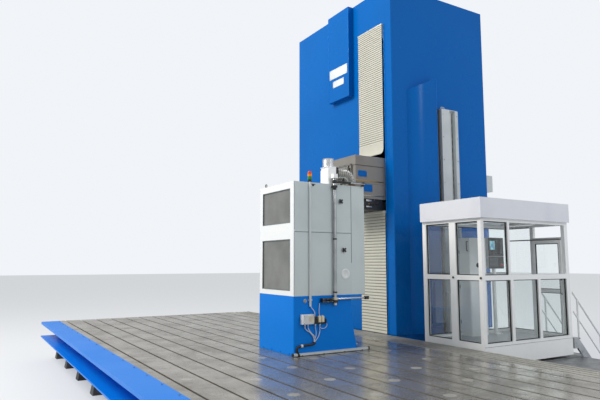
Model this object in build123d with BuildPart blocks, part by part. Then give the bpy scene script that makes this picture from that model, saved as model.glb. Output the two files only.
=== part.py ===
from build123d import *
from math import acos, cos, pi, radians, sin, sqrt, tan
import os

# Floor-type boring mill, millimetres.
# The origin lies on the foundation under the middle of the bed. +Z is up, the column travels
# along X, and the spindle points along -Y over the clamping floor.

# Levels
floor_top = 1000
shoe_height = 60
sheet = 15
seat_gap = 0.3
piece_gap = 0.5

# Bed
bed_length = 13200
bed_front = -1400
bed_rear = 1300
bed_height = 440
leg_width = 650
trough_depth = 300
bed_wall = 50
bed_rib = 100
bed_pockets = 11
shoe_side = 300
way_width = 300
way_height = 50
way_inset = 150

# Rack and pinion of the column drive
tooth_module = 20
pinion_teeth = 14
addendum = 16
dedendum = 20
backlash = 1.5
pressure_angle = 20
pinion_x = -1400
rack_teeth_left = 24
rack_teeth_right = 56
rack_body = 70
rack_height = 120
rack_drop = 50
pinion_width = 140
pinion_shaft = 90

# Clamping floor
plate_front = -7500
plate_rear = -2300
plate_thickness = 600
plate_joint = 0.3
plate_wall = 60
plate_top_wall = 160
plate_cells = 4
slot_first = -7340
slot_pitch = 400
slot_width = 36
slot_neck = 38
slot_head_width = 60
slot_head = 28
row_slots = (5, 4, 4)
pedestal_side = 280
pedestal_taper = 8
channel_width = 450
channel_height = 400
channel_sheet = 30
gutter_slats = 5
gutter_slat_width = 60
gutter_slat_height = 45
gutter_pitch = 140
gutter_bar = 40
gutter_bars = 9
gutter_arm = 60
gutter_arm_top = 400

# Saddle
saddle_left = -3400
saddle_right = 600
saddle_front = -1500
saddle_rear = 1450
saddle_wall = 60
saddle_top_wall = 70
saddle_cells = 5
saddle_wing_under = 130
gearbox_side = 360
motor_plate = 60

# Telescopic way covers
cover_sheet = 8
cover_step = 20
cover_over_way = 110
cover_side_gap = 22
cover_skirt = 240
wiper = 20
left_cover_length = 1720
right_cover_length = 2500
left_covers = 4
right_covers = 3

# Column
column_left = -3480
column_right = 670
column_front = -1600
column_rear = 1550
column_height = 8200
edge_round = 25
slot_left = -540
slot_right = 410
slot_height = 7300
frame_left = -3200
frame_right = -700
frame_front = -1100
frame_rear = 1200
frame_height = 7900
frame_wall = 70
frame_cells = 4
frame_window = (700, 1000)
head_way_width = 200
head_way_thick = 60
head_way_spread = 1700
head_way_length = 7450
screw_radius = 60
screw_x = -500
screw_y = 100
screw_bracket = 120
riser_x = 480
riser_width = 140
riser_depth = 120
terminal_low = 3430
terminal_size = (330, 260, 420)

# Projecting box and fairing on the column
front_box_left = -1700
front_box_width = 900
front_box_depth = 150
front_box_height = 2370
fairing_start = -1150
fairing_round_end = -700
fairing_end = -370
fairing_depth = 200
fairing_low_top = 5670
fairing_high_top = 6040
cable_duct = (90, 150)

# Aprons over the slot
apron_width = 890
apron_left = -500
apron_thick = 38
apron_lip = 12
apron_gap = 6
upper_pitch = 52
lower_pitch = 70
apron_plain = 350

# Headstock and ram
head_bottom = 2800
head_height = 1230
snout_left = -500
snout_width = 870
snout_front = -2450
head_shoulder = -1300
head_rear = 1000
lid_height = 220
lid_over = 12
wiper_frame = 60
wiper_frame_thick = 40
tray_height = 250
tray_inset = 30
ram_side = 520
ram_x = -65
ram_height = 3520
ram_front = -2560
ram_rear = 1000
ram_edge = 18
ram_bolt_spacing = 440
ram_bolt_radius = 12
ram_bolt_depth = 60
ram_clearance = 0.2
sleeve_radius = 150
sleeve_nose = 60
sleeve_length = 1200
spindle_radius = 75
spindle_reach = 100
spindle_length = 1800
nose_radius = 64.285
nose_length = 30
nose_pcd = 101.6
nose_bolt_radius = 8
nose_bolt_depth = 35
taper_large = 34.925
taper_small = 20
taper_depth = 100
shaft_fit = 0.1
motor_radius = 210
motor_length = 700

# Cabin rail on the column
rail_front = -175
rail_width = 555
rail_depth = 160
rail_height = 5320
rail_groove = (305, 150, 90)
rail_groove_slant = 35
rail_side_lip = 45

# Operator cabin
cabin_left = 1525
cabin_right = 3080
cabin_front = -1570
cabin_rear = 1130
cabin_under = 300
cabin_floor = 40
cabin_post = 80
cabin_height = 2455
fascia_height = 385
fascia_over = 60
transom_low = 1270
transom_height = 95
sill_height = 60
pane = 8
front_mid_post = (750, 165)
corner_width = 85
left_corner_width = 100
rear_corner_width = 110
lower_mullions = (840, 1680)
upper_mullion = (790, 60)
door_left = 2300
door_width = 700
door_height = 2050
door_depth = 45
door_stile = 70
bracket_height = 1150
bracket_thick = 70
bracket_arm = 100

# Cabin furniture
cabinet_depth = 300
cabinet_width = 500
cabinet_height = 2100
post_radius = 40
post_reach = 215
post_y = 272
panel_width = 510
panel_height = 690
panel_depth = 120
panel_low = 1470
panel_edge = 15
stop_radius = 20
stop_height = 25

# Stairs
stair_left = 2300
stair_right = 3100
stair_start = 1290
stair_slope = 46
stringer = 40
stringer_depth = 240
stair_foot = 60
stair_rise = 196
tread_depth = 230
tread_thick = 30
beam_width = 140
beam_height = 180
handrail_radius = 20
handrail_height = 840
midrail_drop = 400

# Pick-up station
station_left = 550
station_width = 1310
station_front = -4950
base_rear = -3720
base_toe = -3590
base_height = 1020
base_slant = 660
cabinet_rear = -3380
station_height = 3050
window_inset = 130
window_low = (1110, 910)
window_high = (2310, 620)
window_recess = 20
door_seam = -3700
door_edge = 20
door_shaft_y = -4105
door_shaft_out = 45
door_shaft_radius = 30
arm_side = 30
arm_top = 60
arm_bottom = 55
lug_width = 60
bearing_height = 45
bearing_drop = 75
shelf_level = (60, 1080)
shelf_thick = 60
head_size = 460
head_length = 520
head_flange = 60
conduit_radius = 22
conduit_back = 325
conduit_drop = 2210
pipe_side = 40
drive_box = (270, 190, 280)
drive_inset = 20
drive_output = 80
collar_height = 60
collar_inset = 15
can_radius = 103
can_height = 155
tower_radius = 46
tower_height = 215
tower_back = 370
tower_inset = 60
duct_radius = 80
duct_bend = 130
duct_level = 245
duct_back = 1390
duct_inset = 160
duct_rings = 5


def block(x0, x1, y0, y1, z0, z1, mode=Mode.ADD):
    """A box between two corners, added to or cut from the piece being made."""
    with Locations(((x0 + x1) / 2, (y0 + y1) / 2, (z0 + z1) / 2)):
        Box(x1 - x0, y1 - y0, z1 - z0, mode=mode)


def rod(x, y, z, radius, length, mode=Mode.ADD):
    """An upright round bar, standing on z."""
    with Locations((x, y, z)):
        Cylinder(radius, length, align=(Align.CENTER, Align.CENTER, Align.MIN), mode=mode)


def keep(piece, name):
    """Labels a finished piece and writes its file."""
    piece.part.label = name
    export_step(piece.part, f"parts/{name}.step")


def spaced(start, end, count):
    """Evenly spaced middles of count cells between two ends."""
    step = (end - start) / count
    return [start + step * (k + 0.5) for k in range(count)]


os.makedirs("parts", exist_ok=True)

# Derived levels of the bed
bed_top = shoe_height + bed_height
way_top = bed_top + way_height
trough_floor = bed_top - trough_depth
front_way = (bed_front + way_inset, bed_front + way_inset + way_width)
rear_way = (bed_rear - way_inset - way_width, bed_rear - way_inset)
bed_end = bed_length / 2
front_wall = bed_front + leg_width
rear_wall = bed_rear - leg_width

# Bed casting with ribbed legs and a trough for the rack
with BuildPart() as bed:
    with BuildSketch(Plane.YZ.offset(-bed_end)):
        with Locations(((bed_front + bed_rear) / 2, shoe_height + bed_height / 2)):
            Rectangle(bed_rear - bed_front, bed_height)
        with Locations(((front_wall + rear_wall) / 2, bed_top - trough_depth / 2)):
            Rectangle(rear_wall - front_wall, trough_depth, mode=Mode.SUBTRACT)
    extrude(amount=bed_length)
    pocket = bed_length / bed_pockets - bed_rib
    for x in spaced(-bed_end, bed_end, bed_pockets):
        for y0, y1 in ((bed_front, front_wall), (rear_wall, bed_rear)):
            block(
                x - pocket / 2, x + pocket / 2, y0 + bed_wall, y1 - bed_wall,
                shoe_height, bed_top - bed_wall, Mode.SUBTRACT,
            )
keep(bed, "bed")

# Hardened guideways, screwed on the legs
with BuildPart() as bed_guideways:
    for y0, y1 in (front_way, rear_way):
        with BuildSketch(Plane.YZ.offset(-bed_end)):
            with Locations(((y0 + y1) / 2, bed_top + way_height / 2)):
                Rectangle(way_width, way_height)
        extrude(amount=bed_length)
    chamfer(bed_guideways.edges().filter_by(Axis.X).group_by(Axis.Z)[-1], length=6)
keep(bed_guideways, "bed_guideways")

# Levelling shoes under the ribs of the bed
with BuildPart() as bed_shoes:
    rib_pitch = bed_length / bed_pockets
    for k in range(bed_pockets + 1):
        x = -bed_end + k * rib_pitch
        x = min(max(x, -bed_end + shoe_side / 2), bed_end - shoe_side / 2)
        for y in ((bed_front + front_wall) / 2, (rear_wall + bed_rear) / 2):
            block(x - shoe_side / 2, x + shoe_side / 2, y - leg_width / 2, y + leg_width / 2, 0, shoe_height)
    # the middle shoe under the origin carries the levelling face
    block(-shoe_side / 2, shoe_side / 2, -shoe_side / 2, shoe_side / 2, 0, shoe_height)
keep(bed_shoes, "bed_shoes")

# Rack on the front wall of the trough; its teeth point to the rear
tooth_pitch = pi * tooth_module
pinion_radius = tooth_module * pinion_teeth / 2
rack_root = front_wall + rack_body
rack_pitch_line = rack_root + dedendum
rack_top = bed_top - rack_drop
half_tooth = tooth_pitch / 4 - backlash
flank = tan(radians(pressure_angle))
root_half = half_tooth + dedendum * flank
tip_half = half_tooth - addendum * flank
rack_outline = [(pinion_x - rack_teeth_left * tooth_pitch - root_half, front_wall)]
for k in range(-rack_teeth_left, rack_teeth_right + 1):
    middle = pinion_x + k * tooth_pitch
    rack_outline += [
        (middle - root_half, rack_root),
        (middle - tip_half, rack_pitch_line + addendum),
        (middle + tip_half, rack_pitch_line + addendum),
        (middle + root_half, rack_root),
    ]
rack_outline.append((pinion_x + rack_teeth_right * tooth_pitch + root_half, front_wall))
with BuildPart() as bed_rack:
    with BuildSketch(Plane.XY.offset(rack_top - rack_height)):
        with BuildLine():
            Polyline(*rack_outline, close=True)
        make_face()
    extrude(amount=rack_height)
keep(bed_rack, "bed_rack")

# Drive pinion with an upright shaft; one gap faces the rack
pinion_y = rack_pitch_line + pinion_radius
pinion_low = rack_top - rack_height - (pinion_width - rack_height) / 2
base_circle = pinion_radius * cos(radians(pressure_angle))


def involute(angle):
    """The involute function of an angle in radians."""
    return tan(angle) - angle


def tooth_half_angle(radius):
    """Half the angle that a pinion tooth spans at a radius."""
    at_pitch = half_tooth / pinion_radius + involute(radians(pressure_angle))
    if radius <= base_circle:
        return at_pitch
    return at_pitch - involute(acos(base_circle / radius))


pinion_radii = (pinion_radius - dedendum, base_circle, pinion_radius + addendum / 2, pinion_radius + addendum)
pinion_outline = []
for k in range(pinion_teeth):
    middle = -pi / 2 + (k + 0.5) * 2 * pi / pinion_teeth
    for r in pinion_radii:
        angle = middle - tooth_half_angle(r)
        pinion_outline.append((pinion_x + r * cos(angle), pinion_y + r * sin(angle)))
    for r in reversed(pinion_radii):
        angle = middle + tooth_half_angle(r)
        pinion_outline.append((pinion_x + r * cos(angle), pinion_y + r * sin(angle)))
gearbox_low = pinion_low + pinion_width + bed_wall
with BuildPart() as drive_pinion:
    with BuildSketch(Plane.XY.offset(pinion_low)):
        with BuildLine():
            Polyline(*pinion_outline, close=True)
        make_face()
    extrude(amount=pinion_width)
    rod(pinion_x, pinion_y, pinion_low, pinion_shaft / 2, gearbox_low - seat_gap - pinion_low)
keep(drive_pinion, "drive_pinion")

# Clamping floor: rows of T-slotted castings
plate_low = floor_top - plate_thickness
row_edges = [plate_front]
for count in row_slots[:-1]:
    slots_so_far = sum(row_slots[: len(row_edges)])
    row_edges.append(slot_first + (slots_so_far - 0.5) * slot_pitch)
row_edges.append(plate_rear)


def floor_plates(row):
    """One row of the clamping floor, two castings end to end."""
    y0, y1 = row_edges[row], row_edges[row + 1]
    if row > 0:
        y0 += plate_joint / 2
    if row < len(row_slots) - 1:
        y1 -= plate_joint / 2
    first = sum(row_slots[:row])
    with BuildPart() as plates:
        for x0, x1 in ((-bed_end, -plate_joint / 2), (plate_joint / 2, bed_end)):
            with BuildSketch(Plane.YZ.offset(x0)):
                with Locations(((y0 + y1) / 2, (plate_low + floor_top) / 2)):
                    Rectangle(y1 - y0, plate_thickness)
                for k in range(first, first + row_slots[row]):
                    y = slot_first + k * slot_pitch
                    with Locations((y, floor_top - slot_neck / 2)):
                        Rectangle(slot_width, slot_neck, mode=Mode.SUBTRACT)
                    with Locations((y, floor_top - slot_neck - slot_head / 2)):
                        Rectangle(slot_head_width, slot_head, mode=Mode.SUBTRACT)
            extrude(amount=x1 - x0)
            edge = plate_wall / 2
            cell = (x1 - x0 - plate_wall) / plate_cells - plate_wall
            half = (y1 - y0 - plate_wall) / 2 - plate_wall
            for x in spaced(x0 + edge, x1 - edge, plate_cells):
                for y in spaced(y0 + edge, y1 - edge, 2):
                    block(
                        x - cell / 2, x + cell / 2, y - half / 2, y + half / 2,
                        plate_low, floor_top - plate_top_wall, Mode.SUBTRACT,
                    )
    return plates


row_names = ("front", "middle", "rear")
for row, row_name in enumerate(row_names):
    keep(floor_plates(row), f"floor_plates_{row_name}")

# Pedestals under the walls of the castings, on the foundation
pedestal_top = pedestal_side - 2 * plate_low * tan(radians(pedestal_taper))
pedestal_inset = pedestal_top / 2
pedestal_reach = bed_end - pedestal_inset
with BuildPart() as plate_pedestals:
    line_count = 2 * plate_cells + 1
    pedestal_lines = [row_edges[0] + pedestal_inset, *row_edges[1:-1], row_edges[-1] - pedestal_inset]
    for k in range(line_count):
        x = pedestal_reach * (2 * k / (line_count - 1) - 1)
        for y in pedestal_lines:
            with BuildSketch():
                with Locations((x, y)):
                    Rectangle(pedestal_side, pedestal_side)
            extrude(amount=plate_low, taper=pedestal_taper)
keep(plate_pedestals, "plate_pedestals")

# Edge channel along the front of the clamping floor
with BuildPart() as edge_channel:
    low = floor_top - channel_height
    front = plate_front - channel_width
    with BuildSketch(Plane.YZ.offset(-bed_end)):
        with BuildLine():
            Polyline(
                (plate_front, low), (plate_front, floor_top), (front, floor_top),
                (front, floor_top - channel_sheet * 2), (front + channel_sheet, floor_top - channel_sheet * 2),
                (front + channel_sheet, floor_top - channel_sheet), (plate_front - channel_sheet, floor_top - channel_sheet),
                (plate_front - channel_sheet, low + channel_sheet), (front, low + channel_sheet), (front, low),
                close=True,
            )
        make_face()
    extrude(amount=bed_length)
keep(edge_channel, "edge_channel")

# Gutter grating between the clamping floor and the column
with BuildPart() as gutter_grating:
    slat_low = floor_top - gutter_slat_height
    first_slat = plate_rear + gutter_slat_width / 2 + piece_gap
    last_slat = first_slat + (gutter_slats - 1) * gutter_pitch
    for x in spaced(-bed_end, bed_end, gutter_bars):
        x0, x1 = x - gutter_bar / 2, x + gutter_bar / 2
        block(x0, x1, plate_rear, last_slat, slat_low - gutter_bar, slat_low)
        # console from the front of the bed up to the cross-bar
        block(x0, x1, last_slat - gutter_bar, last_slat, gutter_arm_top - gutter_arm, slat_low - gutter_bar)
        block(x0, x1, last_slat, bed_front, gutter_arm_top - gutter_arm, gutter_arm_top)
    for k in range(gutter_slats):
        y = first_slat + k * gutter_pitch
        block(
            -bed_end, bed_end, y - gutter_slat_width / 2, y + gutter_slat_width / 2, slat_low, floor_top,
        )
keep(gutter_grating, "gutter_grating")

# Saddle casting on the guideways
saddle_ceiling = floor_top - saddle_top_wall
inner_front, inner_rear = front_way[1] + saddle_wall, rear_way[0] - saddle_wall
with BuildPart() as saddle:
    block(saddle_left, saddle_right, saddle_front, saddle_rear, way_top, floor_top)
    for y0, y1 in ((saddle_front, front_way[0]), (rear_way[1], saddle_rear)):
        block(saddle_left, saddle_right, y0, y1, way_top, way_top + saddle_wing_under, Mode.SUBTRACT)
    saddle_cell = (saddle_right - saddle_left) / saddle_cells - saddle_wall
    for x in spaced(saddle_left, saddle_right, saddle_cells):
        block(
            x - saddle_cell / 2, x + saddle_cell / 2, inner_front, inner_rear,
            way_top, saddle_ceiling, Mode.SUBTRACT,
        )
keep(saddle, "saddle")

# Gearbox and motor of the column drive, hung from the saddle's ceiling
with BuildPart() as x_drive_gearbox:
    block(
        pinion_x - gearbox_side / 2, pinion_x + gearbox_side / 2,
        pinion_y - gearbox_side / 2, pinion_y + gearbox_side / 2,
        gearbox_low, saddle_ceiling - motor_plate,
    )
    block(
        pinion_x - gearbox_side / 2 - motor_plate, pinion_x + gearbox_side / 2 + motor_plate,
        pinion_y - gearbox_side / 2 - motor_plate, pinion_y + gearbox_side / 2 + motor_plate,
        saddle_ceiling - motor_plate, saddle_ceiling,
    )
    chamfer(x_drive_gearbox.edges().filter_by(Axis.Z), length=25)
keep(x_drive_gearbox, "x_drive_gearbox")


def cover_outline(step):
    """(front, rear, top, bottom) of a way cover; step 0 is the widest one, next to the saddle."""
    widest = max(left_covers, right_covers) - 1
    out = cover_side_gap + cover_sheet + (widest - step) * cover_step
    top = way_top + cover_over_way - step * cover_step
    return bed_front - out, bed_rear + out, top, bed_top - cover_skirt / 3


def way_cover(x0, x1, step, lip_at, seat_ends=()):
    """A sheet-metal hood over the bed, with a wiper lip at its open end and a seat on the guideways."""
    front, rear, top, low = cover_outline(step)
    inner_low = low
    block(x0, x1, front, rear, top - cover_sheet, top)
    block(x0, x1, front, front + cover_sheet, inner_low, top - cover_sheet)
    block(x0, x1, rear - cover_sheet, rear, inner_low, top - cover_sheet)
    if lip_at is not None:
        lip0, lip1 = sorted((lip_at, lip_at + (wiper if lip_at == x0 else -wiper)))
        lip = cover_step - cover_sheet - seat_gap
        block(lip0, lip1, front + cover_sheet, rear - cover_sheet, top - cover_sheet - lip, top - cover_sheet)
    for end in seat_ends:
        s0, s1 = sorted((end, end + (wiper if end == x0 else -wiper)))
        for y0, y1 in (front_way, rear_way):
            block(s0, s1, y0, y1, way_top, top - cover_sheet)


left_gap = saddle_left + bed_end
left_offset = (left_gap - left_cover_length) / (left_covers - 1)
right_gap = bed_end - saddle_right
right_offset = (right_gap - right_cover_length) / (right_covers - 1)

# Widest covers, fixed to the ends of the saddle
with BuildPart() as saddle_covers:
    way_cover(saddle_left - left_cover_length, saddle_left, 0, saddle_left - left_cover_length)
    way_cover(saddle_right, saddle_right + right_cover_length, 0, saddle_right + right_cover_length)
keep(saddle_covers, "saddle_covers")

# Covers in between, which follow the saddle at a fixed share of its travel
for k in range(1, left_covers - 1):
    end = saddle_left - k * left_offset
    with BuildPart() as middle_cover:
        way_cover(end - left_cover_length, end, k, end - left_cover_length)
    keep(middle_cover, f"left_cover_{k}")
for k in range(1, right_covers - 1):
    end = saddle_right + k * right_offset
    with BuildPart() as middle_cover:
        way_cover(end, end + right_cover_length, k, end + right_cover_length)
    keep(middle_cover, f"right_cover_{k}")

# Smallest covers, fixed at the ends of the bed
with BuildPart() as bed_covers:
    way_cover(-bed_end, -bed_end + left_cover_length, left_covers - 1, None, (-bed_end,))
    way_cover(bed_end - right_cover_length, bed_end, right_covers - 1, None, (bed_end,))
keep(bed_covers, "bed_covers")

# Column casting: an upright box with diaphragms and core windows to the rear
column_top = floor_top + column_height
frame_top = floor_top + frame_height
with BuildPart() as column_frame:
    block(frame_left, frame_right, frame_front, frame_rear, floor_top, frame_top)
    window_width, window_height = frame_window
    frame_middle = (frame_left + frame_right) / 2
    cell_height = frame_height / frame_cells - frame_wall
    for z in spaced(floor_top, frame_top, frame_cells):
        block(
            frame_left + frame_wall, frame_right - frame_wall,
            frame_front + frame_wall, frame_rear - frame_wall,
            z - cell_height / 2, z + cell_height / 2, Mode.SUBTRACT,
        )
        block(
            frame_middle - window_width / 2, frame_middle + window_width / 2,
            frame_rear - frame_wall, frame_rear,
            z - window_height / 2, z + window_height / 2, Mode.SUBTRACT,
        )
    # brackets that hold the ends of the screw
    for z in (floor_top + screw_bracket, frame_top - 2 * screw_bracket):
        block(
            frame_right, screw_x + screw_bracket, screw_y - screw_bracket, screw_y + screw_bracket,
            z, z + screw_bracket,
        )
        rod(screw_x, screw_y, z, screw_radius + shaft_fit, screw_bracket, Mode.SUBTRACT)
keep(column_frame, "column_frame")

# Guideways of the headstock on the side of the column casting
head_way_low = floor_top + 250
head_way_face = frame_right + head_way_thick
with BuildPart() as headstock_ways:
    for side in (-1, 1):
        y = (frame_front + frame_rear) / 2 + side * head_way_spread / 2
        block(
            frame_right, head_way_face, y - head_way_width / 2, y + head_way_width / 2,
            head_way_low, head_way_low + head_way_length,
        )
    chamfer(headstock_ways.edges().filter_by(Axis.Z).group_by(Axis.X)[-1], length=8)
keep(headstock_ways, "headstock_ways")

# Ball screw, held at both ends
with BuildPart() as vertical_screw:
    screw_low = floor_top + screw_bracket / 2
    rod(screw_x, screw_y, screw_low, screw_radius, frame_top - screw_bracket / 2 - screw_low)
keep(vertical_screw, "vertical_screw")

# Front wall of the column housing, with the slot for the headstock
slot_top = floor_top + slot_height
with BuildPart() as column_front_wall:
    with BuildSketch(Plane.XZ.offset(-column_front)):
        with Locations(((column_left + column_right) / 2, floor_top + column_height / 2)):
            Rectangle(column_right - column_left, column_height)
        with Locations(((slot_left + slot_right) / 2, floor_top + slot_height / 2)):
            Rectangle(slot_right - slot_left, slot_height, mode=Mode.SUBTRACT)
    extrude(amount=-sheet)
    outer = column_front_wall.edges().filter_by(Axis.Z).group_by(Axis.Y)[0].group_by(Axis.X)
    chamfer(outer[0] + outer[-1], length=sheet * 0.7)
keep(column_front_wall, "column_front_wall")

# Side and rear walls of the column housing
with BuildPart() as column_walls:
    inner_y = column_front + sheet
    block(column_left, column_left + sheet, inner_y, column_rear, floor_top, column_top)
    block(column_right - sheet, column_right, inner_y, column_rear, floor_top, column_top)
    block(
        column_left + sheet, column_right - sheet, column_rear - sheet, column_rear, floor_top, column_top,
    )
    chamfer(column_walls.edges().filter_by(Axis.Z).group_by(Axis.Y)[-1], length=sheet * 0.7)
keep(column_walls, "column_walls")

# Roof of the column housing
with BuildPart() as column_roof:
    block(
        column_left + sheet, column_right - sheet, inner_y, column_rear - sheet, column_top - sheet, column_top,
    )
keep(column_roof, "column_roof")

# Projecting box on the front wall
with BuildPart() as front_box:
    block(
        front_box_left, front_box_left + front_box_width, column_front - front_box_depth, column_front,
        column_top - front_box_height, column_top,
    )
    block(
        front_box_left + sheet, front_box_left + front_box_width - sheet,
        column_front - front_box_depth + sheet, column_front,
        column_top - front_box_height + sheet, column_top - sheet, Mode.SUBTRACT,
    )
    fillet(front_box.edges().filter_by(Axis.Z).group_by(Axis.Y)[0], radius=edge_round / 2)
keep(front_box, "front_box")



def fairing_form(inset):
    """The fairing's body under its slanting top; inset makes the hollow behind its sheet."""
    with BuildPart() as form:
        with BuildSketch(Plane.XY.offset(floor_top)):
            with BuildLine():
                flat_top = (column_right + fairing_depth - inset, fairing_round_end)
                Line((column_right, fairing_start + inset * 1.5), (column_right, fairing_end - inset))
                Line((column_right, fairing_end - inset), (column_right + fairing_depth - inset, fairing_end - inset))
                Line((column_right + fairing_depth - inset, fairing_end - inset), flat_top)
                TangentArc(flat_top, (column_right, fairing_start + inset * 1.5), tangent=(0, -1))
            make_face()
        extrude(amount=fairing_high_top)
        with BuildSketch(Plane.YZ.offset(column_right)):
            with BuildLine():
                Polyline(
                    (fairing_start, floor_top + fairing_low_top - inset),
                    (fairing_end, floor_top + fairing_high_top - inset),
                    (fairing_end, floor_top + fairing_high_top * 1.1),
                    (fairing_start, floor_top + fairing_high_top * 1.1), close=True,
                )
            make_face()
        extrude(amount=fairing_depth * 2, mode=Mode.SUBTRACT)
    return form.part


# Curved sheet fairing and cable duct on the right-hand side of the column
with BuildPart() as side_fairing:
    add(fairing_form(0))
    add(fairing_form(sheet), mode=Mode.SUBTRACT)
    duct_depth, duct_width = cable_duct
    block(
        column_right, column_right + duct_depth, fairing_end + piece_gap, fairing_end + piece_gap + duct_width,
        floor_top, floor_top + rail_height,
    )
keep(side_fairing, "side_fairing")

# Guide rail of the cabin, a channel on the side of the column
rail_face = column_right + rail_depth
rail_rear = rail_front + rail_width
with BuildPart() as cabin_rail:
    groove_at, groove_width, groove_depth = rail_groove
    with BuildSketch(Plane.XY.offset(floor_top)):
        with Locations(((column_right + rail_face) / 2, (rail_front + rail_rear) / 2)):
            Rectangle(rail_depth, rail_width)
        groove_y = rail_front + groove_at
        with BuildLine():
            Polyline(
                (rail_face, groove_y - rail_groove_slant), (rail_face - groove_depth, groove_y),
                (rail_face - groove_depth, groove_y + groove_width), (rail_face, groove_y + groove_width),
                close=True,
            )
        make_face(mode=Mode.SUBTRACT)
        for y in (rail_front + rail_side_lip / 2, rail_rear - rail_side_lip / 2):
            with Locations((column_right + rail_depth * 0.4, y)):
                Rectangle(rail_depth * 0.35, rail_side_lip, mode=Mode.SUBTRACT)
    extrude(amount=rail_height)
keep(cabin_rail, "cabin_rail")

# Riser with a terminal box at the rear right corner of the column
with BuildPart() as rear_riser:
    width, depth, height = terminal_size
    block(
        riser_x - riser_width / 2, riser_x + riser_width / 2, column_rear, column_rear + riser_depth,
        floor_top, floor_top + terminal_low,
    )
    block(
        riser_x - width / 2, riser_x + width / 2, column_rear, column_rear + depth,
        floor_top + terminal_low, floor_top + terminal_low + height,
    )
    chamfer(rear_riser.edges().group_by(Axis.Y)[-1], length=20)
keep(rear_riser, "rear_riser")


def apron_profile(low, high, pitch):
    """The wavy outline of an apron in the YZ plane: one lip to each slat, and plain ends."""
    back = column_front - apron_gap
    face = back - apron_thick + apron_lip
    count = int((high - low) // pitch)
    points = [(back, low), (face, low)]
    for k in range(count):
        z = low + k * pitch
        points += [(face - apron_lip, z + pitch * 0.12), (face, z + pitch)]
    if high - points[-1][1] > 1:
        points.append((face, high))
    points.append((back, high))
    return points


def apron(low, high, pitch):
    """A slatted apron as wide as the slot."""
    with BuildPart() as strand:
        with BuildSketch(Plane.YZ.offset(apron_left)):
            with BuildLine():
                Polyline(*apron_profile(low, high, pitch), close=True)
            make_face()
        extrude(amount=apron_width)
    return strand


head_low = floor_top + head_bottom
head_top = head_low + head_height
keep(apron(head_top + seat_gap, slot_top - apron_plain, upper_pitch), "upper_apron")
keep(apron(floor_top, head_low - seat_gap, lower_pitch), "lower_apron")

# Roller box over the slot, where the upper apron winds up
with BuildPart() as apron_box:
    block(
        apron_left, apron_left + apron_width, column_front - apron_thick, column_front,
        slot_top - apron_plain + seat_gap, slot_top,
    )
    fillet(apron_box.edges().filter_by(Axis.X).group_by(Axis.Y)[0].group_by(Axis.Z)[-1], radius=apron_lip)
keep(apron_box, "apron_box")

# Headstock casting: a snout through the slot and a body on the guideways
snout_right = snout_left + snout_width
ram_low = floor_top + ram_height - ram_side / 2
with BuildPart() as headstock_housing:
    block(head_way_face, snout_right, head_shoulder, head_rear, head_low, head_top)
    block(snout_left, snout_right, snout_front, head_shoulder, head_low + tray_height, head_top)
    # lid over the snout, a little wider, and the frame that holds the ram's wipers
    block(
        snout_left - lid_over, snout_right + lid_over, snout_front - lid_over, head_shoulder,
        head_top - lid_height, head_top,
    )
    hole = ram_side / 2 + ram_clearance
    ram_z = floor_top + ram_height
    frame_out = hole + wiper_frame
    block(
        ram_x - frame_out, ram_x + frame_out, snout_front - wiper_frame_thick, snout_front,
        ram_z - frame_out, ram_z + frame_out,
    )
    block(
        ram_x - hole, ram_x + hole, snout_front - wiper_frame_thick, head_rear,
        ram_z - hole, ram_z + hole, Mode.SUBTRACT,
    )
    rod(screw_x, screw_y, head_low, screw_radius + seat_gap, head_height, Mode.SUBTRACT)
    chamfer(headstock_housing.edges().filter_by(Axis.Y).group_by(Axis.Z)[-1].group_by(Axis.Y)[0], length=lid_over * 0.8)
keep(headstock_housing, "headstock_housing")

# Tray for hoses under the snout
with BuildPart() as headstock_tray:
    block(
        snout_left + tray_inset, snout_right - tray_inset, snout_front + 3 * tray_inset, column_front - tray_inset,
        head_low, head_low + tray_height,
    )
    block(
        snout_left + tray_inset + sheet, snout_right - tray_inset - sheet,
        snout_front + 3 * tray_inset + sheet, column_front - tray_inset - sheet,
        head_low + sheet, head_low + tray_height, Mode.SUBTRACT,
    )
keep(headstock_tray, "headstock_tray")

# Main motor on top of the headstock, inside the housing
motor_x = (head_way_face + snout_right) / 2
with BuildPart() as spindle_motor:
    with BuildSketch(Plane.XZ.offset(-head_rear + 50)):
        with Locations((motor_x, head_top + motor_radius)):
            RegularPolygon(motor_radius, 24)
        with Locations((motor_x, head_top + motor_radius / 4)):
            Rectangle(motor_radius * 1.6, motor_radius / 2)
    extrude(amount=motor_length)
keep(spindle_motor, "spindle_motor")

# Ram with the bores of the spindles and four threaded holes in its face
with BuildPart() as ram:
    with BuildSketch(Plane.XZ.offset(-ram_rear)) as ram_section:
        with Locations((ram_x, ram_z)):
            Rectangle(ram_side, ram_side)
        chamfer(ram_section.vertices(), length=ram_edge)
    extrude(amount=ram_rear - ram_front)
    sleeve_rear = ram_front + sleeve_length
    with BuildSketch(Plane.XZ.offset(-ram_front)):
        with Locations((ram_x, ram_z)):
            Circle(sleeve_radius + shaft_fit)
    extrude(amount=-sleeve_length - seat_gap, mode=Mode.SUBTRACT)
    spindle_rear = ram_front - spindle_reach + spindle_length
    with BuildSketch(Plane.XZ.offset(-ram_front)):
        with Locations((ram_x, ram_z)):
            Circle(spindle_radius + shaft_fit)
    extrude(amount=-(spindle_rear - ram_front) - seat_gap, mode=Mode.SUBTRACT)
    with BuildSketch(Plane.XZ.offset(-ram_front)):
        with Locations((ram_x, ram_z)):
            with GridLocations(ram_bolt_spacing, ram_bolt_spacing, 2, 2):
                Circle(ram_bolt_radius)
    extrude(amount=-ram_bolt_depth, mode=Mode.SUBTRACT)
keep(ram, "ram")

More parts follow.
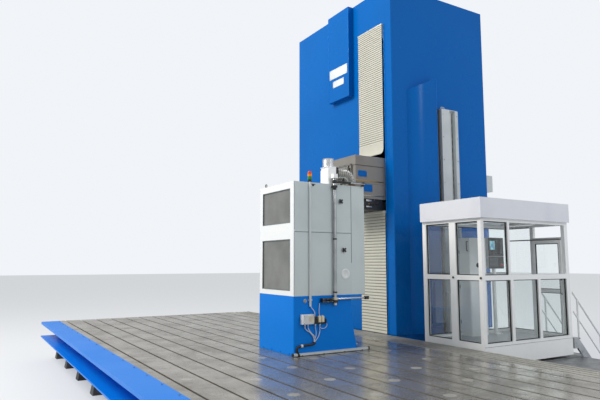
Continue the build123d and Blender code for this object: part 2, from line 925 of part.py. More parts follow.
# Hollow milling spindle in the ram
with BuildPart() as milling_spindle:
    with BuildSketch(Plane.XZ.offset(-sleeve_rear)):
        with Locations((ram_x, ram_z)):
            Circle(sleeve_radius)
            Circle(spindle_radius + shaft_fit, mode=Mode.SUBTRACT)
    extrude(amount=sleeve_length + sleeve_nose)
keep(milling_spindle, "milling_spindle")

# Boring spindle, which slides out of the milling spindle
spindle_front = ram_front - spindle_reach
with BuildPart() as boring_spindle:
    nose_face = spindle_front - nose_length
    with BuildSketch(Plane.YZ.offset(ram_x)):
        with BuildLine():
            Polyline(
                (spindle_rear, ram_z), (spindle_rear, ram_z + spindle_radius),
                (spindle_front, ram_z + spindle_radius), (spindle_front, ram_z + nose_radius),
                (nose_face, ram_z + nose_radius), (nose_face, ram_z + taper_large),
                (nose_face + taper_depth, ram_z + taper_small), (nose_face + taper_depth, ram_z), close=True,
            )
        make_face()
    revolve(axis=Axis((ram_x, 0, ram_z), (0, 1, 0)))
    with BuildSketch(Plane.XZ.offset(-nose_face)):
        with Locations((ram_x, ram_z)):
            with PolarLocations(nose_pcd / 2, 4, start_angle=45):
                Circle(nose_bolt_radius)
    extrude(amount=-nose_bolt_depth, mode=Mode.SUBTRACT)
keep(boring_spindle, "boring_spindle")

# Cabin platform with the bracket that grips the rail
platform_low = floor_top - cabin_under
platform_top = floor_top + cabin_floor
bracket_low = platform_low + 60
arm_high = platform_top
with BuildPart() as cabin_platform:
    block(cabin_left, cabin_right, cabin_front, cabin_rear, platform_low, platform_top)
    block(
        cabin_left + sheet, cabin_right - sheet, cabin_front + sheet, cabin_rear - sheet,
        platform_low, platform_top - cabin_floor, Mode.SUBTRACT,
    )
    block(
        rail_face + seat_gap, rail_face + bracket_thick, rail_front, rail_rear,
        bracket_low, bracket_low + bracket_height,
    )
    for y in (rail_front, rail_rear - bracket_arm):
        block(rail_face + bracket_thick, cabin_left, y, y + bracket_arm, bracket_low, arm_high)
keep(cabin_platform, "cabin_platform")

# Cabin frame of square posts, sills and rails; panes fill its gaps
frame_low = platform_top
frame_high = floor_top + cabin_height
transom_z = floor_top + transom_low
door_right = door_left + door_width
door_top = frame_low + door_height
mid_post_at, mid_post_width = front_mid_post
with BuildPart() as cabin_frame:
    # upright posts
    block(cabin_left, cabin_left + left_corner_width, cabin_front, cabin_front + cabin_post, frame_low, frame_high)
    block(
        cabin_left + mid_post_at, cabin_left + mid_post_at + mid_post_width,
        cabin_front, cabin_front + cabin_post, frame_low, frame_high,
    )
    block(cabin_right - corner_width, cabin_right, cabin_front, cabin_front + cabin_post, frame_low, frame_high)
    block(cabin_left, cabin_left + cabin_post, cabin_rear - cabin_post, cabin_rear, frame_low, frame_high)
    block(cabin_right - cabin_post, cabin_right, cabin_rear - rear_corner_width, cabin_rear, frame_low, frame_high)
    # sills, transoms and head rails on the front, right and left
    for z, height in ((frame_low, sill_height), (transom_z, transom_height), (frame_high - sill_height, sill_height)):
        block(cabin_left, cabin_right, cabin_front, cabin_front + cabin_post, z, z + height)
        block(cabin_right - cabin_post, cabin_right, cabin_front, cabin_rear, z, z + height)
        block(cabin_left, cabin_left + cabin_post, cabin_front, cabin_rear, z, z + height)
    # one slender mullion over the transom on the right, and two under it
    upper_at, upper_width = upper_mullion
    upper_y = cabin_front + upper_at
    block(
        cabin_right - cabin_post, cabin_right, upper_y - upper_width / 2, upper_y + upper_width / 2,
        transom_z, frame_high,
    )
    for y in lower_mullions:
        block(
            cabin_right - cabin_post, cabin_right, cabin_front + y - cabin_post / 2, cabin_front + y + cabin_post / 2,
            frame_low, transom_z,
        )
    # rear side with the doorway
    for x0, x1 in ((cabin_left, door_left), (door_right, cabin_right)):
        block(x0, x1, cabin_rear - cabin_post, cabin_rear, frame_low, frame_low + sill_height)
    block(cabin_left, cabin_right, cabin_rear - cabin_post, cabin_rear, frame_high - sill_height, frame_high)
    block(door_left - cabin_post, door_left, cabin_rear - cabin_post, cabin_rear, frame_low, frame_high)
    block(
        door_left, cabin_right - cabin_post, cabin_rear - cabin_post, cabin_rear, door_top, door_top + sill_height,
    )
keep(cabin_frame, "cabin_frame")


def glazing(x0, x1, y0, y1, z0, z1):
    """A pane across a gap, thin along its shorter side."""
    if x1 - x0 < y1 - y0:
        middle = (x0 + x1) / 2
        block(middle - pane / 2, middle + pane / 2, y0, y1, z0, z1)
    else:
        middle = (y0 + y1) / 2
        block(x0, x1, middle - pane / 2, middle + pane / 2, z0, z1)


# Panes of the cabin
lower_panes = (frame_low + sill_height, transom_z)
upper_panes = (transom_z + transom_height, frame_high - sill_height)
with BuildPart() as cabin_glass:
    front_panes = (
        (cabin_left + left_corner_width, cabin_left + mid_post_at),
        (cabin_left + mid_post_at + mid_post_width, cabin_right - corner_width),
    )
    for x0, x1 in front_panes:
        for z0, z1 in (lower_panes, upper_panes):
            glazing(x0, x1, cabin_front, cabin_front + cabin_post, z0, z1)
    side_stops = [cabin_front + cabin_post]
    for y in lower_mullions:
        side_stops += [cabin_front + y - cabin_post / 2, cabin_front + y + cabin_post / 2]
    side_stops.append(cabin_rear - rear_corner_width)
    for y0, y1 in zip(side_stops[::2], side_stops[1::2]):
        glazing(cabin_right - cabin_post, cabin_right, y0, y1, *lower_panes)
    for z0, z1 in (lower_panes, upper_panes):
        glazing(
            cabin_left, cabin_left + cabin_post, cabin_front + cabin_post, cabin_rear - cabin_post, z0, z1,
        )
    # behind the upper mullion the right side is open
    glazing(
        cabin_right - cabin_post, cabin_right, cabin_front + cabin_post, upper_y - upper_width / 2, *upper_panes,
    )
    rear_pane = (frame_low + sill_height, frame_high - sill_height)
    glazing(cabin_left + cabin_post, door_left - cabin_post, cabin_rear - cabin_post, cabin_rear, *rear_pane)
keep(cabin_glass, "cabin_glass")

# Cabin roof: a ceiling inside a deep fascia
with BuildPart() as cabin_roof:
    roof_left, roof_right = cabin_left, cabin_right + fascia_over
    roof_front, roof_rear = cabin_front - fascia_over, cabin_rear
    block(roof_left, roof_right, roof_front, roof_rear, frame_high, frame_high + fascia_height)
    block(
        roof_left + sheet, roof_right - sheet, roof_front + sheet, roof_rear - sheet,
        frame_high + sheet, frame_high + fascia_height, Mode.SUBTRACT,
    )
keep(cabin_roof, "cabin_roof")

# Sliding door at the rear of the cabin, inside the frame
door_face = cabin_rear - cabin_post - seat_gap
with BuildPart() as cabin_door:
    door_back = door_face - door_depth
    with BuildSketch(Plane.XZ.offset(-door_back)):
        with Locations(((door_left + door_right) / 2, frame_low + door_height / 2)):
            Rectangle(door_width, door_height - 2 * piece_gap)
        upper_gap = door_height * 0.55 - 2 * door_stile
        lower_gap = door_height * 0.45 - door_stile
        with Locations(((door_left + door_right) / 2, frame_low + door_stile + lower_gap / 2)):
            Rectangle(door_width - 2 * door_stile, lower_gap, mode=Mode.SUBTRACT)
        with Locations(((door_left + door_right) / 2, frame_low + door_height - door_stile - upper_gap / 2)):
            Rectangle(door_width - 2 * door_stile, upper_gap, mode=Mode.SUBTRACT)
    extrude(amount=-door_depth)
    glazing(
        door_left + door_stile, door_right - door_stile, door_back, door_face,
        frame_low + door_stile, frame_low + door_height - door_stile,
    )
keep(cabin_door, "cabin_door")

# Cabinet and panel post inside the cabin
with BuildPart() as cabin_console:
    inner_left = cabin_left + cabin_post
    cabinet_front = cabin_front + 1000
    block(
        inner_left, inner_left + cabinet_depth, cabinet_front, cabinet_front + cabinet_width,
        platform_top, platform_top + cabinet_height,
    )
    block(
        inner_left + sheet, inner_left + cabinet_depth - sheet,
        cabinet_front + sheet, cabinet_front + cabinet_width - sheet,
        platform_top + sheet, platform_top + cabinet_height - sheet, Mode.SUBTRACT,
    )
    panel_x = inner_left + post_reach
    panel_z = floor_top + panel_low
    rod(panel_x, post_y, platform_top, post_radius, panel_z - seat_gap - platform_top)
    foot_half = post_radius * 2.4
    block(
        panel_x - foot_half, panel_x + foot_half, post_y - foot_half, post_y + foot_half,
        platform_top, platform_top + sill_height / 2,
    )
keep(cabin_console, "cabin_console")

# Control panel, which swivels on its post
with BuildPart() as cnc_panel:
    panel_back = panel_x - post_radius
    block(
        panel_back, panel_back + panel_depth, post_y - panel_width / 2, post_y + panel_width / 2,
        panel_z, panel_z + panel_height,
    )
    chamfer(cnc_panel.edges().filter_by(Axis.X), length=panel_edge)
    stop_y, stop_z = post_y + panel_width * 0.35, panel_z + panel_height * 0.12
    with BuildSketch(Plane.YZ.offset(panel_back + panel_depth)):
        with Locations((stop_y, stop_z)):
            Circle(stop_radius * 0.6)
    extrude(amount=-stop_height, mode=Mode.SUBTRACT)
keep(cnc_panel, "cnc_panel")

# Emergency stop: a mushroom button with its stem in the panel
with BuildPart() as emergency_stop:
    with BuildSketch(Plane.YZ.offset(panel_back + panel_depth + stop_radius * 0.5)):
        with Locations((stop_y, stop_z)):
            RegularPolygon(stop_radius, 24)
    extrude(amount=stop_height - stop_radius * 0.5)
    with BuildSketch(Plane.YZ.offset(panel_back + panel_depth - stop_height * 0.6)):
        with Locations((stop_y, stop_z)):
            RegularPolygon(stop_radius * 0.6 - shaft_fit, 24)
    extrude(amount=stop_height * 0.6 + stop_radius * 0.5)
keep(emergency_stop, "emergency_stop")

# Stairs behind the cabin, hung on a beam from the saddle
slope = tan(radians(stair_slope))
stair_drop = platform_top - stair_foot
stair_end = stair_start + stair_drop / slope
beam_top = floor_top
with BuildPart() as stairs:
    block(saddle_right, stair_right, stair_start - beam_width, stair_start, beam_top - beam_height, beam_top)
    block(
        stair_left, stair_right, stair_start - beam_width, stair_start, beam_top, platform_top,
    )
    for x in (stair_left, stair_right - stringer):
        with BuildSketch(Plane.YZ.offset(x)):
            with BuildLine():
                Polyline(
                    (stair_start, platform_top), (stair_end, stair_foot),
                    (stair_end - stringer_depth / slope, stair_foot),
                    (stair_start, platform_top - stringer_depth), close=True,
                )
            make_face()
        extrude(amount=stringer)
    for k in range(1, int(stair_drop / stair_rise)):
        z = platform_top - k * stair_rise
        nose = stair_start + (platform_top - z) / slope
        block(
            stair_left + stringer + seat_gap, stair_right - stringer - seat_gap,
            max(nose - tread_depth, stair_start + seat_gap), nose, z - tread_thick, z,
        )
keep(stairs, "stairs")

# Handrails on both sides of the stairs
with BuildPart() as stair_handrails:
    rail_start, rail_stop = stair_start + 2 * handrail_radius, stair_end - 4 * handrail_radius
    for x in (stair_left + stringer / 2, stair_right - stringer / 2):
        for lift in (handrail_height, handrail_height - midrail_drop):
            low_end = Vector(x, rail_stop + handrail_radius, platform_top + lift - (rail_stop - stair_start) * slope)
            high_end = Vector(x, rail_start - handrail_radius, platform_top + lift - (rail_start - stair_start) * slope)
            with BuildSketch(Plane(low_end, x_dir=(1, 0, 0), z_dir=high_end - low_end)):
                Rectangle(2 * handrail_radius, 2 * handrail_radius)
            extrude(amount=(high_end - low_end).length)
        for y in (rail_start + handrail_radius, rail_stop - handrail_radius):
            foot = platform_top - (y - handrail_radius - stair_start) * slope + seat_gap
            block(
                x - handrail_radius, x + handrail_radius, y - handrail_radius, y + handrail_radius,
                foot, platform_top - (y - stair_start) * slope + handrail_height,
            )
keep(stair_handrails, "stair_handrails")

# Base of the pick-up station
station_right = station_left + station_width
base_top = floor_top + base_height
cabinet_top = floor_top + station_height


def base_outline(inset):
    """The side outline of the base, moved inwards by a wall."""
    return [
        (station_front + inset, floor_top), (station_front + inset, base_top - inset),
        (base_rear - inset, base_top - inset), (base_rear - inset, floor_top + base_slant),
        (base_toe - inset, floor_top),
    ]


with BuildPart() as station_base:
    with BuildSketch(Plane.YZ.offset(station_left)):
        with BuildLine():
            Polyline(*base_outline(0), close=True)
        make_face()
    extrude(amount=station_width)
    fillet(station_base.edges().filter_by(Axis.Z).group_by(Axis.Y)[0], radius=edge_round)
    with BuildSketch(Plane.YZ.offset(station_left + sheet)):
        with BuildLine():
            Polyline(*base_outline(sheet), close=True)
        make_face()
    extrude(amount=station_width - 2 * sheet, mode=Mode.SUBTRACT)
keep(station_base, "station_base")

# Housing of the station, open to the rear and at its rear right edge, with two windows
with BuildPart() as station_cabinet:
    block(station_left, station_right, station_front, cabinet_rear, base_top, cabinet_top)
    fillet(station_cabinet.edges().filter_by(Axis.Z).group_by(Axis.Y)[0], radius=edge_round)
    block(
        station_left + sheet, station_right - sheet, station_front + sheet, cabinet_rear,
        base_top + sheet, cabinet_top - sheet, Mode.SUBTRACT,
    )
    block(
        station_right - sheet, station_right, door_seam, cabinet_rear,
        base_top + sheet, cabinet_top - sheet, Mode.SUBTRACT,
    )
    block(station_left, station_right, cabinet_rear - door_edge, cabinet_rear, base_top, cabinet_top, Mode.SUBTRACT)
    block(
        station_right - door_edge, station_right, door_seam, cabinet_rear, base_top, cabinet_top, Mode.SUBTRACT,
    )
    for low, height in (window_low, window_high):
        block(
            station_left + window_inset, station_right - window_inset, station_front, station_front + sheet,
            floor_top + low, floor_top + low + height, Mode.SUBTRACT,
        )
keep(station_cabinet, "station_cabinet")

# Dark panels behind the windows
with BuildPart() as station_windows:
    for low, height in (window_low, window_high):
        block(
            station_left + window_inset - door_edge, station_right - window_inset + door_edge,
            station_front + sheet, station_front + sheet + pane,
            floor_top + low - door_edge, floor_top + low + height + door_edge,
        )
keep(station_windows, "station_windows")

# Door of the station: the rear wall with the rear right edge folded from one sheet
door_sheet = door_edge - piece_gap
with BuildPart() as station_door:
    block(
        station_left, station_right, cabinet_rear - door_sheet, cabinet_rear,
        base_top + piece_gap, cabinet_top - piece_gap,
    )
    block(
        station_right - door_sheet, station_right, door_seam + piece_gap, cabinet_rear,
        base_top + piece_gap, cabinet_top - piece_gap,
    )
    fillet(station_door.edges().filter_by(Axis.Z).group_by(Axis.Y)[-1].sort_by(Axis.X)[-1], radius=edge_round)
keep(station_door, "station_door")

# Upright shaft with two arms that carry the door
door_shaft_x = station_right + door_shaft_out
top_arm_z = cabinet_top + arm_top
bottom_arm_z = base_top - arm_bottom - arm_side
bearing_levels = (bottom_arm_z - seat_gap - bearing_height, cabinet_top - bearing_drop)
shaft_low = bearing_levels[0] - sheet
shaft_high = top_arm_z + arm_side + sheet
with BuildPart() as door_arms:
    rod(door_shaft_x, door_shaft_y, shaft_low, door_shaft_radius, shaft_high - shaft_low)
    for z in (top_arm_z, bottom_arm_z):
        block(
            door_shaft_x - arm_side / 2, door_shaft_x + arm_side / 2, door_shaft_y, cabinet_rear - arm_side, z, z + arm_side,
        )
    # lugs from the ends of the arms to the door's folded edge
    for z0, z1 in ((cabinet_top - lug_width, top_arm_z), (bottom_arm_z + arm_side, base_top + lug_width)):
        block(
            station_right, door_shaft_x + arm_side / 2, cabinet_rear - 4 * arm_side, cabinet_rear - arm_side, z0, z1,
        )
keep(door_arms, "door_arms")

# Bearings of the door shaft on the side of the housing and of the base
with BuildPart() as shaft_bearings:
    for z in bearing_levels:
        block(
            station_right, door_shaft_x + door_shaft_radius + sheet,
            door_shaft_y - bearing_height, door_shaft_y + bearing_height, z, z + bearing_height,
        )
        rod(door_shaft_x, door_shaft_y, z, door_shaft_radius + shaft_fit, bearing_height, Mode.SUBTRACT)
    chamfer(shaft_bearings.edges().filter_by(Axis.Z).group_by(Axis.X)[-1], length=sheet)
keep(shaft_bearings, "shaft_bearings")

# Gear motor on the roof, with its output over the door shaft
drive_width, drive_depth, drive_height = drive_box
drive_right = station_right - drive_inset
drive_left = drive_right - drive_width
drive_front = door_shaft_y - drive_depth / 2
drive_rear = drive_front + drive_depth
collar_top = cabinet_top + drive_height + collar_height
with BuildPart() as door_drive:
    block(drive_left, drive_right, drive_front, drive_rear, cabinet_top, cabinet_top + drive_height)
    chamfer(door_drive.edges().filter_by(Axis.Z), length=sheet)
    block(
        drive_left + collar_inset, drive_right - collar_inset, drive_front + collar_inset, drive_rear,
        cabinet_top + drive_height, collar_top,
    )
    block(
        drive_right, door_shaft_x + door_shaft_radius + sheet,
        door_shaft_y - bearing_height, door_shaft_y + bearing_height,
        shaft_high + seat_gap, shaft_high + seat_gap + drive_output,
    )
    rod((drive_left + drive_right) / 2, (drive_front + drive_rear) / 2, collar_top, can_radius, can_height)
keep(door_drive, "door_drive")

# Signal tower on the roof
tower_x, tower_y = station_right - tower_inset, station_front + tower_back
with BuildPart() as signal_tower:
    with BuildSketch(Plane.XY.offset(cabinet_top)):
        with Locations((tower_x, tower_y)):
            RegularPolygon(tower_radius, 24)
    extrude(amount=tower_height)
keep(signal_tower, "signal_tower")

# Elbow duct from the drive down to the roof, bent in short straight rings
duct_x, duct_y = station_right - duct_inset, station_front + duct_back
duct_z = cabinet_top + duct_level
duct_route = [Vector(duct_x, duct_y, cabinet_top)]
for k in range(duct_rings + 1):
    turn = pi / 2 * k / duct_rings
    duct_route.append(Vector(duct_x, duct_y - duct_bend * (1 - cos(turn)), duct_z - duct_bend * (1 - sin(turn))))
duct_route.append(Vector(duct_x, drive_rear, duct_z))
with BuildPart() as station_duct:
    with BuildLine() as duct_path:
        Polyline(*duct_route)
    with BuildSketch(Plane.XY.offset(cabinet_top)):
        with Locations((duct_x, duct_y)):
            RegularPolygon(duct_radius, 12)
    sweep(path=duct_path.wire(), transition=Transition.RIGHT)
keep(station_duct, "station_duct")

# Shelves inside the station, one for each stored head
head_rear_face = door_seam - door_edge
with BuildPart() as station_shelves:
    for level in shelf_level:
        z = base_top + level
        block(
            station_left + sheet, station_right - sheet, station_front + sheet + pane + door_edge, head_rear_face,
            z, z + shelf_thick,
        )
keep(station_shelves, "station_shelves")

# Milling heads parked on the shelves with their flanges to the rear, as the ram takes them
head_x = (station_left + station_right) / 2
with BuildPart() as milling_heads:
    for level in shelf_level:
        z = base_top + level + shelf_thick
        block(
            head_x - head_size / 2, head_x + head_size / 2,
            head_rear_face - head_length, head_rear_face - head_flange, z, z + ram_side,
        )
    chamfer(milling_heads.edges().group_by(Axis.Y)[0], length=head_flange)
    for level in shelf_level:
        middle = base_top + level + shelf_thick + ram_side / 2
        with BuildSketch(Plane.XZ.offset(-head_rear_face)):
            with Locations((head_x, middle)):
                Rectangle(ram_side, ram_side)
        extrude(amount=head_flange)
        with BuildSketch(Plane.YZ.offset(head_x + head_size / 2)):
            with Locations((head_rear_face - head_length / 2, middle)):
                RegularPolygon(sleeve_radius * 0.7, 8)
        extrude(amount=head_flange)
keep(milling_heads, "milling_heads")

# Cable conduit down the side of the station, and the drip pipe along its foot
with BuildPart() as station_conduits:
    conduit_y = station_front + conduit_back
    conduit_low = cabinet_top - conduit_drop
    rod(station_right + conduit_radius, conduit_y, conduit_low, conduit_radius - seat_gap / 2, cabinet_top - conduit_low)
    block(
        station_right + seat_gap, station_right + seat_gap + pipe_side, station_front - pipe_side, cabinet_rear + pipe_side,
        floor_top + 10, floor_top + 10 + pipe_side,
    )
keep(station_conduits, "station_conduits")

# Junction box, valve block and lower bearing block on the side of the base
with BuildPart() as station_controls:
    for y0, y1, z0, z1, depth in (
        (station_front + 130, station_front + 355, floor_top + 540, floor_top + 705, 110),
        (station_front + 420, station_front + 645, floor_top + 535, floor_top + 660, 70),
        (door_shaft_y - 300, door_shaft_y - 60, floor_top + 880, floor_top + 985, 95),
    ):
        block(station_right, station_right + depth, y0, y1, z0, z1)
keep(station_controls, "station_controls")
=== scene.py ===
import math

import bpy
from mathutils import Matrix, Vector


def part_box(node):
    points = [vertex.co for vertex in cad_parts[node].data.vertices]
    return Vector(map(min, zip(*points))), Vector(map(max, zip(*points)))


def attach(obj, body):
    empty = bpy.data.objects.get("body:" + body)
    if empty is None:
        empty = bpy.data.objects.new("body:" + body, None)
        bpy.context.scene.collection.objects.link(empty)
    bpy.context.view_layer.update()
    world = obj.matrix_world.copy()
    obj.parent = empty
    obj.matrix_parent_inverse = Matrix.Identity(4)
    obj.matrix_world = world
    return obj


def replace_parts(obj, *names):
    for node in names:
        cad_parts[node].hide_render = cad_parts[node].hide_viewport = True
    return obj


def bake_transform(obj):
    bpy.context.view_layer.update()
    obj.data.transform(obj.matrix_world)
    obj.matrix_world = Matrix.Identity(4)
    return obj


bl_info = {
    "name": "Floor Boring Mill",
    "version": (1, 1, 0),
    "blender": (4, 5, 0),
    "location": "3D View > Sidebar > Boring Mill",
    "description": "Dresses the packed floor-type boring mill with its detailed pieces, finishes and light",
    "category": "Object",
}

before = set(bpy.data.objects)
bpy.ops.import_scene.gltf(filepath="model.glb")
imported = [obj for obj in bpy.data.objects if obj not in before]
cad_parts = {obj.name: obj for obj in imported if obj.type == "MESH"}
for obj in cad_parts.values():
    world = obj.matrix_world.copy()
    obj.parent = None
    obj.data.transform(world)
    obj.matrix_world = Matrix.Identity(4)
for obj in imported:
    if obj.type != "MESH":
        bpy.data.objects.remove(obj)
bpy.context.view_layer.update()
BOX = {name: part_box(name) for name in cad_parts}
FLOOR = BOX["floor_plates_front"][1].z

# The ways that a face or a screw can look, seen from the front of the clamping floor
UP, DOWN, FRONT, BACK, RIGHT, LEFT = (0, 0, 1), (0, 0, -1), (0, -1, 0), (0, 1, 0), (1, 0, 0), (-1, 0, 0)

# Planes that several pieces start from, in metres
STATION_SIDE = 1.860
STATION_FRONT = -4.950
STATION_TOP = 4.050
APRON_LEFT, APRON_RIGHT = -0.514, 0.400

# The share of an apron's pitch that one strip covers: the rest shows the grey backing between two, painted shade for
# the shadow line under each strip
STRIP_SHARE = 0.86


# Hand tools: each does what a modeller does with the mouse, one step at a time


def deselect():
    """Leaves edit mode, if it is on, and lets everything go."""
    if bpy.context.object and bpy.context.object.mode != "OBJECT":
        bpy.ops.object.mode_set(mode="OBJECT")
    bpy.ops.object.select_all(action="DESELECT")


def pick(obj):
    """Makes an object the one that is worked on."""
    deselect()
    obj.select_set(True)
    bpy.context.view_layer.objects.active = obj


def edit_all(obj, mode="VERT"):
    """Opens a mesh and selects all of it."""
    pick(obj)
    bpy.ops.object.mode_set(mode="EDIT")
    bpy.ops.mesh.select_mode(type=mode)
    bpy.ops.mesh.select_all(action="SELECT")


def edit_faces(obj, test):
    """Opens a mesh and selects the faces for which test(centre, normal) holds."""
    pick(obj)
    bpy.ops.object.mode_set(mode="EDIT")
    bpy.ops.mesh.select_mode(type="FACE")
    bpy.ops.mesh.select_all(action="DESELECT")
    bpy.ops.object.mode_set(mode="OBJECT")
    for face in obj.data.polygons:
        face.select = bool(test(face.center, face.normal))
    bpy.ops.object.mode_set(mode="EDIT")


def edit_edges(obj, test):
    """Opens a mesh and selects the edges for which test(start, end) holds."""
    pick(obj)
    bpy.ops.object.mode_set(mode="EDIT")
    bpy.ops.mesh.select_mode(type="EDGE")
    bpy.ops.mesh.select_all(action="DESELECT")
    bpy.ops.object.mode_set(mode="OBJECT")
    points = obj.data.vertices
    for edge in obj.data.edges:
        edge.select = bool(test(points[edge.vertices[0]].co, points[edge.vertices[1]].co))
    bpy.ops.object.mode_set(mode="EDIT")


def leave():
    """Closes the mesh that is open."""
    bpy.ops.object.mode_set(mode="OBJECT")


def settle(obj):
    """Puts an object's place, turn and size into its mesh."""
    pick(obj)
    bpy.ops.object.transform_apply(location=True, rotation=True, scale=True)
    return obj


def block(low, high, edge=0.0, steps=2):
    """A box between two corners, with its edges rounded."""
    deselect()
    low, high = Vector(low), Vector(high)
    bpy.ops.mesh.primitive_cube_add(size=1, location=(low + high) / 2)
    obj = bpy.context.object
    obj.scale = high - low
    settle(obj)
    if edge:
        edit_all(obj, "EDGE")
        bpy.ops.mesh.bevel(offset=edge, segments=steps, affect="EDGES")
        leave()
    return obj


def turned(start, end, radius, sides=24, edge=0.0, end_radius=None):
    """A round bar or cone between two points, with its rims rounded."""
    deselect()
    start, end = Vector(start), Vector(end)
    run = end - start
    bpy.ops.mesh.primitive_cone_add(
        vertices=sides, radius1=radius, radius2=radius if end_radius is None else end_radius,
        depth=run.length, location=(start + end) / 2, rotation=run.to_track_quat("Z", "Y").to_euler(),
    )
    obj = settle(bpy.context.object)
    if edge:
        way = run.normalized()
        edit_edges(obj, lambda a, b: abs((b - a).normalized().dot(way)) < 0.2)
        bpy.ops.mesh.bevel(offset=edge, segments=2, affect="EDGES")
        leave()
    return obj


def lathe(base, way, steps, sides=24):
    """A turned piece: a disc drawn out step by step along way. Steps are (distance, radius)."""
    deselect()
    far, wide = steps[0]
    bpy.ops.mesh.primitive_circle_add(vertices=sides, radius=wide, fill_type="NGON", location=(0, 0, far))
    obj = settle(bpy.context.object)
    edit_all(obj, "FACE")
    for distance, radius in steps[1:]:
        bpy.ops.mesh.extrude_region_move(TRANSFORM_OT_translate={"value": (0, 0, distance - far)})
        bpy.ops.transform.resize(value=(radius / wide, radius / wide, 1), center_override=(0, 0, 0))
        far, wide = distance, radius
    leave()
    obj.rotation_euler = Vector(way).to_track_quat("Z", "Y").to_euler()
    obj.location = base
    return settle(obj)


def pipe(points, radius, bend=0.0, sides=12, closed=False):
    """A rigid tube that runs straight between points and turns on arcs at them."""
    deselect()
    path = bpy.data.curves.new("pipe", "CURVE")
    path.dimensions = "3D"
    points = [Vector(p) for p in points]
    route = []
    count = len(points)
    for k, p in enumerate(points):
        if not closed and k in (0, count - 1) or not bend:
            route.append(p)
            continue
        before, after = points[k - 1] - p, points[(k + 1) % count] - p
        turn = math.pi - before.angle(after)
        reach = min(bend * math.tan(turn / 2), before.length * 0.49, after.length * 0.49)
        a, b = p + before.normalized() * reach, p + after.normalized() * reach
        for step in range(7):
            t = step / 6
            route.append(a * (1 - t) ** 2 + p * 2 * t * (1 - t) + b * t * t)
    spline = path.splines.new("POLY")
    spline.points.add(len(route) - 1)
    for target, p in zip(spline.points, route):
        target.co = (*p, 1)
    spline.use_cyclic_u = closed
    path.bevel_depth = radius
    path.bevel_resolution = max(0, sides // 4 - 1)
    path.use_fill_caps = not closed
    obj = bpy.data.objects.new("pipe", path)
    bpy.context.collection.objects.link(obj)
    pick(obj)
    bpy.ops.object.convert(target="MESH")
    return bpy.context.object


def lead(points, radius):
    """A held cable: a smooth line between its two glands, drawn as a tube."""
    deselect()
    path = bpy.data.curves.new("lead", "CURVE")
    path.dimensions = "3D"
    spline = path.splines.new("NURBS")
    spline.points.add(len(points) - 1)
    for target, p in zip(spline.points, points):
        target.co = (*p, 1)
    spline.order_u = 3
    spline.use_endpoint_u = True
    spline.resolution_u = 6
    path.bevel_depth = radius
    path.bevel_resolution = 1
    path.use_fill_caps = True
    obj = bpy.data.objects.new("lead", path)
    bpy.context.collection.objects.link(obj)
    pick(obj)
    bpy.ops.object.convert(target="MESH")
    return bpy.context.object


def ring(low, high, way, width):
    """A flat frame: a plate with its middle cut out, width wide all round."""
    obj = block(low, high)
    way = Vector(way)
    edit_faces(obj, lambda centre, normal: abs(normal.dot(way)) > 0.98)
    bpy.ops.mesh.inset(thickness=width, depth=0)
    bpy.ops.mesh.bridge_edge_loops()
    leave()
    return obj


def row(obj, count, step):
    """The object repeated in a straight line by an array that is then applied."""
    pick(obj)
    bpy.ops.object.modifier_add(type="ARRAY")
    line = obj.modifiers[-1]
    line.count = count
    line.use_relative_offset = False
    line.use_constant_offset = True
    line.constant_offset_displace = step
    bpy.ops.object.modifier_apply(modifier=line.name)
    return obj


def copies(obj, offsets):
    """The object and one copy of it at each offset, each with its own mesh."""
    made = [obj]
    for offset in offsets:
        pick(obj)
        bpy.ops.object.duplicate(linked=False)
        twin = bpy.context.object
        twin.location += Vector(offset)
        made.append(settle(twin))
    return made


def joined(name, parts):
    """One object out of several."""
    deselect()
    for part in parts:
        part.select_set(True)
    bpy.context.view_layer.objects.active = parts[0]
    if len(parts) > 1:
        bpy.ops.object.join()
    obj = bpy.context.object
    obj.name = name
    obj.data.name = name
    return obj


def painted(obj, material):
    """The object in one material."""
    obj.data.materials.clear()
    obj.data.materials.append(material)
    return obj


def finished(name, parts, body, finish, smooth=35):
    """Joins the parts of a piece, turns its faces outwards, smooths it and lets it ride on its body."""
    obj = joined(name, parts if isinstance(parts, list) else [parts])
    painted(obj, FINISH[finish])
    edit_all(obj)
    bpy.ops.mesh.remove_doubles(threshold=0.00002)
    bpy.ops.mesh.normals_make_consistent(inside=False)
    leave()
    bpy.ops.object.shade_smooth_by_angle(angle=math.radians(smooth))
    if body:
        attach(obj, body)
    return obj


def hex_head(spot, way, radius, height):
    """One socket screw: a rounded head with a sunk six-sided hole."""
    way = Vector(way).normalized()
    spot = Vector(spot)
    head = turned(spot, spot + way * height, radius, 12, edge=height * 0.2)
    edit_faces(head, lambda centre, normal: normal.dot(way) > 0.95)
    bpy.ops.mesh.inset(thickness=radius * 0.4, depth=0)
    bpy.ops.mesh.inset(thickness=radius * 0.02, depth=-height * 0.5)
    leave()
    return head


def hex_screws(spots, way, radius, height):
    """Screw heads of one size: modelled once and copied to each spot."""
    first = Vector(spots[0])
    return copies(hex_head(first, way, radius, height), [Vector(s) - first for s in spots[1:]])


def screwed(name, spots, way, radius, height, body, finish="ground steel"):
    """A finished piece that is nothing but screw heads."""
    return finished(name, hex_screws(spots, way, radius, height), body, finish)


def panel(low, high, way, border, depth, edge=0.0):
    """A plate whose face towards way has a sunken or raised field inside a border."""
    obj = block(low, high, edge)
    way = Vector(way)
    edit_faces(obj, lambda centre, normal: normal.dot(way) > 0.98)
    bpy.ops.mesh.inset(thickness=border, depth=0)
    bpy.ops.mesh.inset(thickness=abs(depth) * 0.6, depth=depth)
    leave()
    return obj


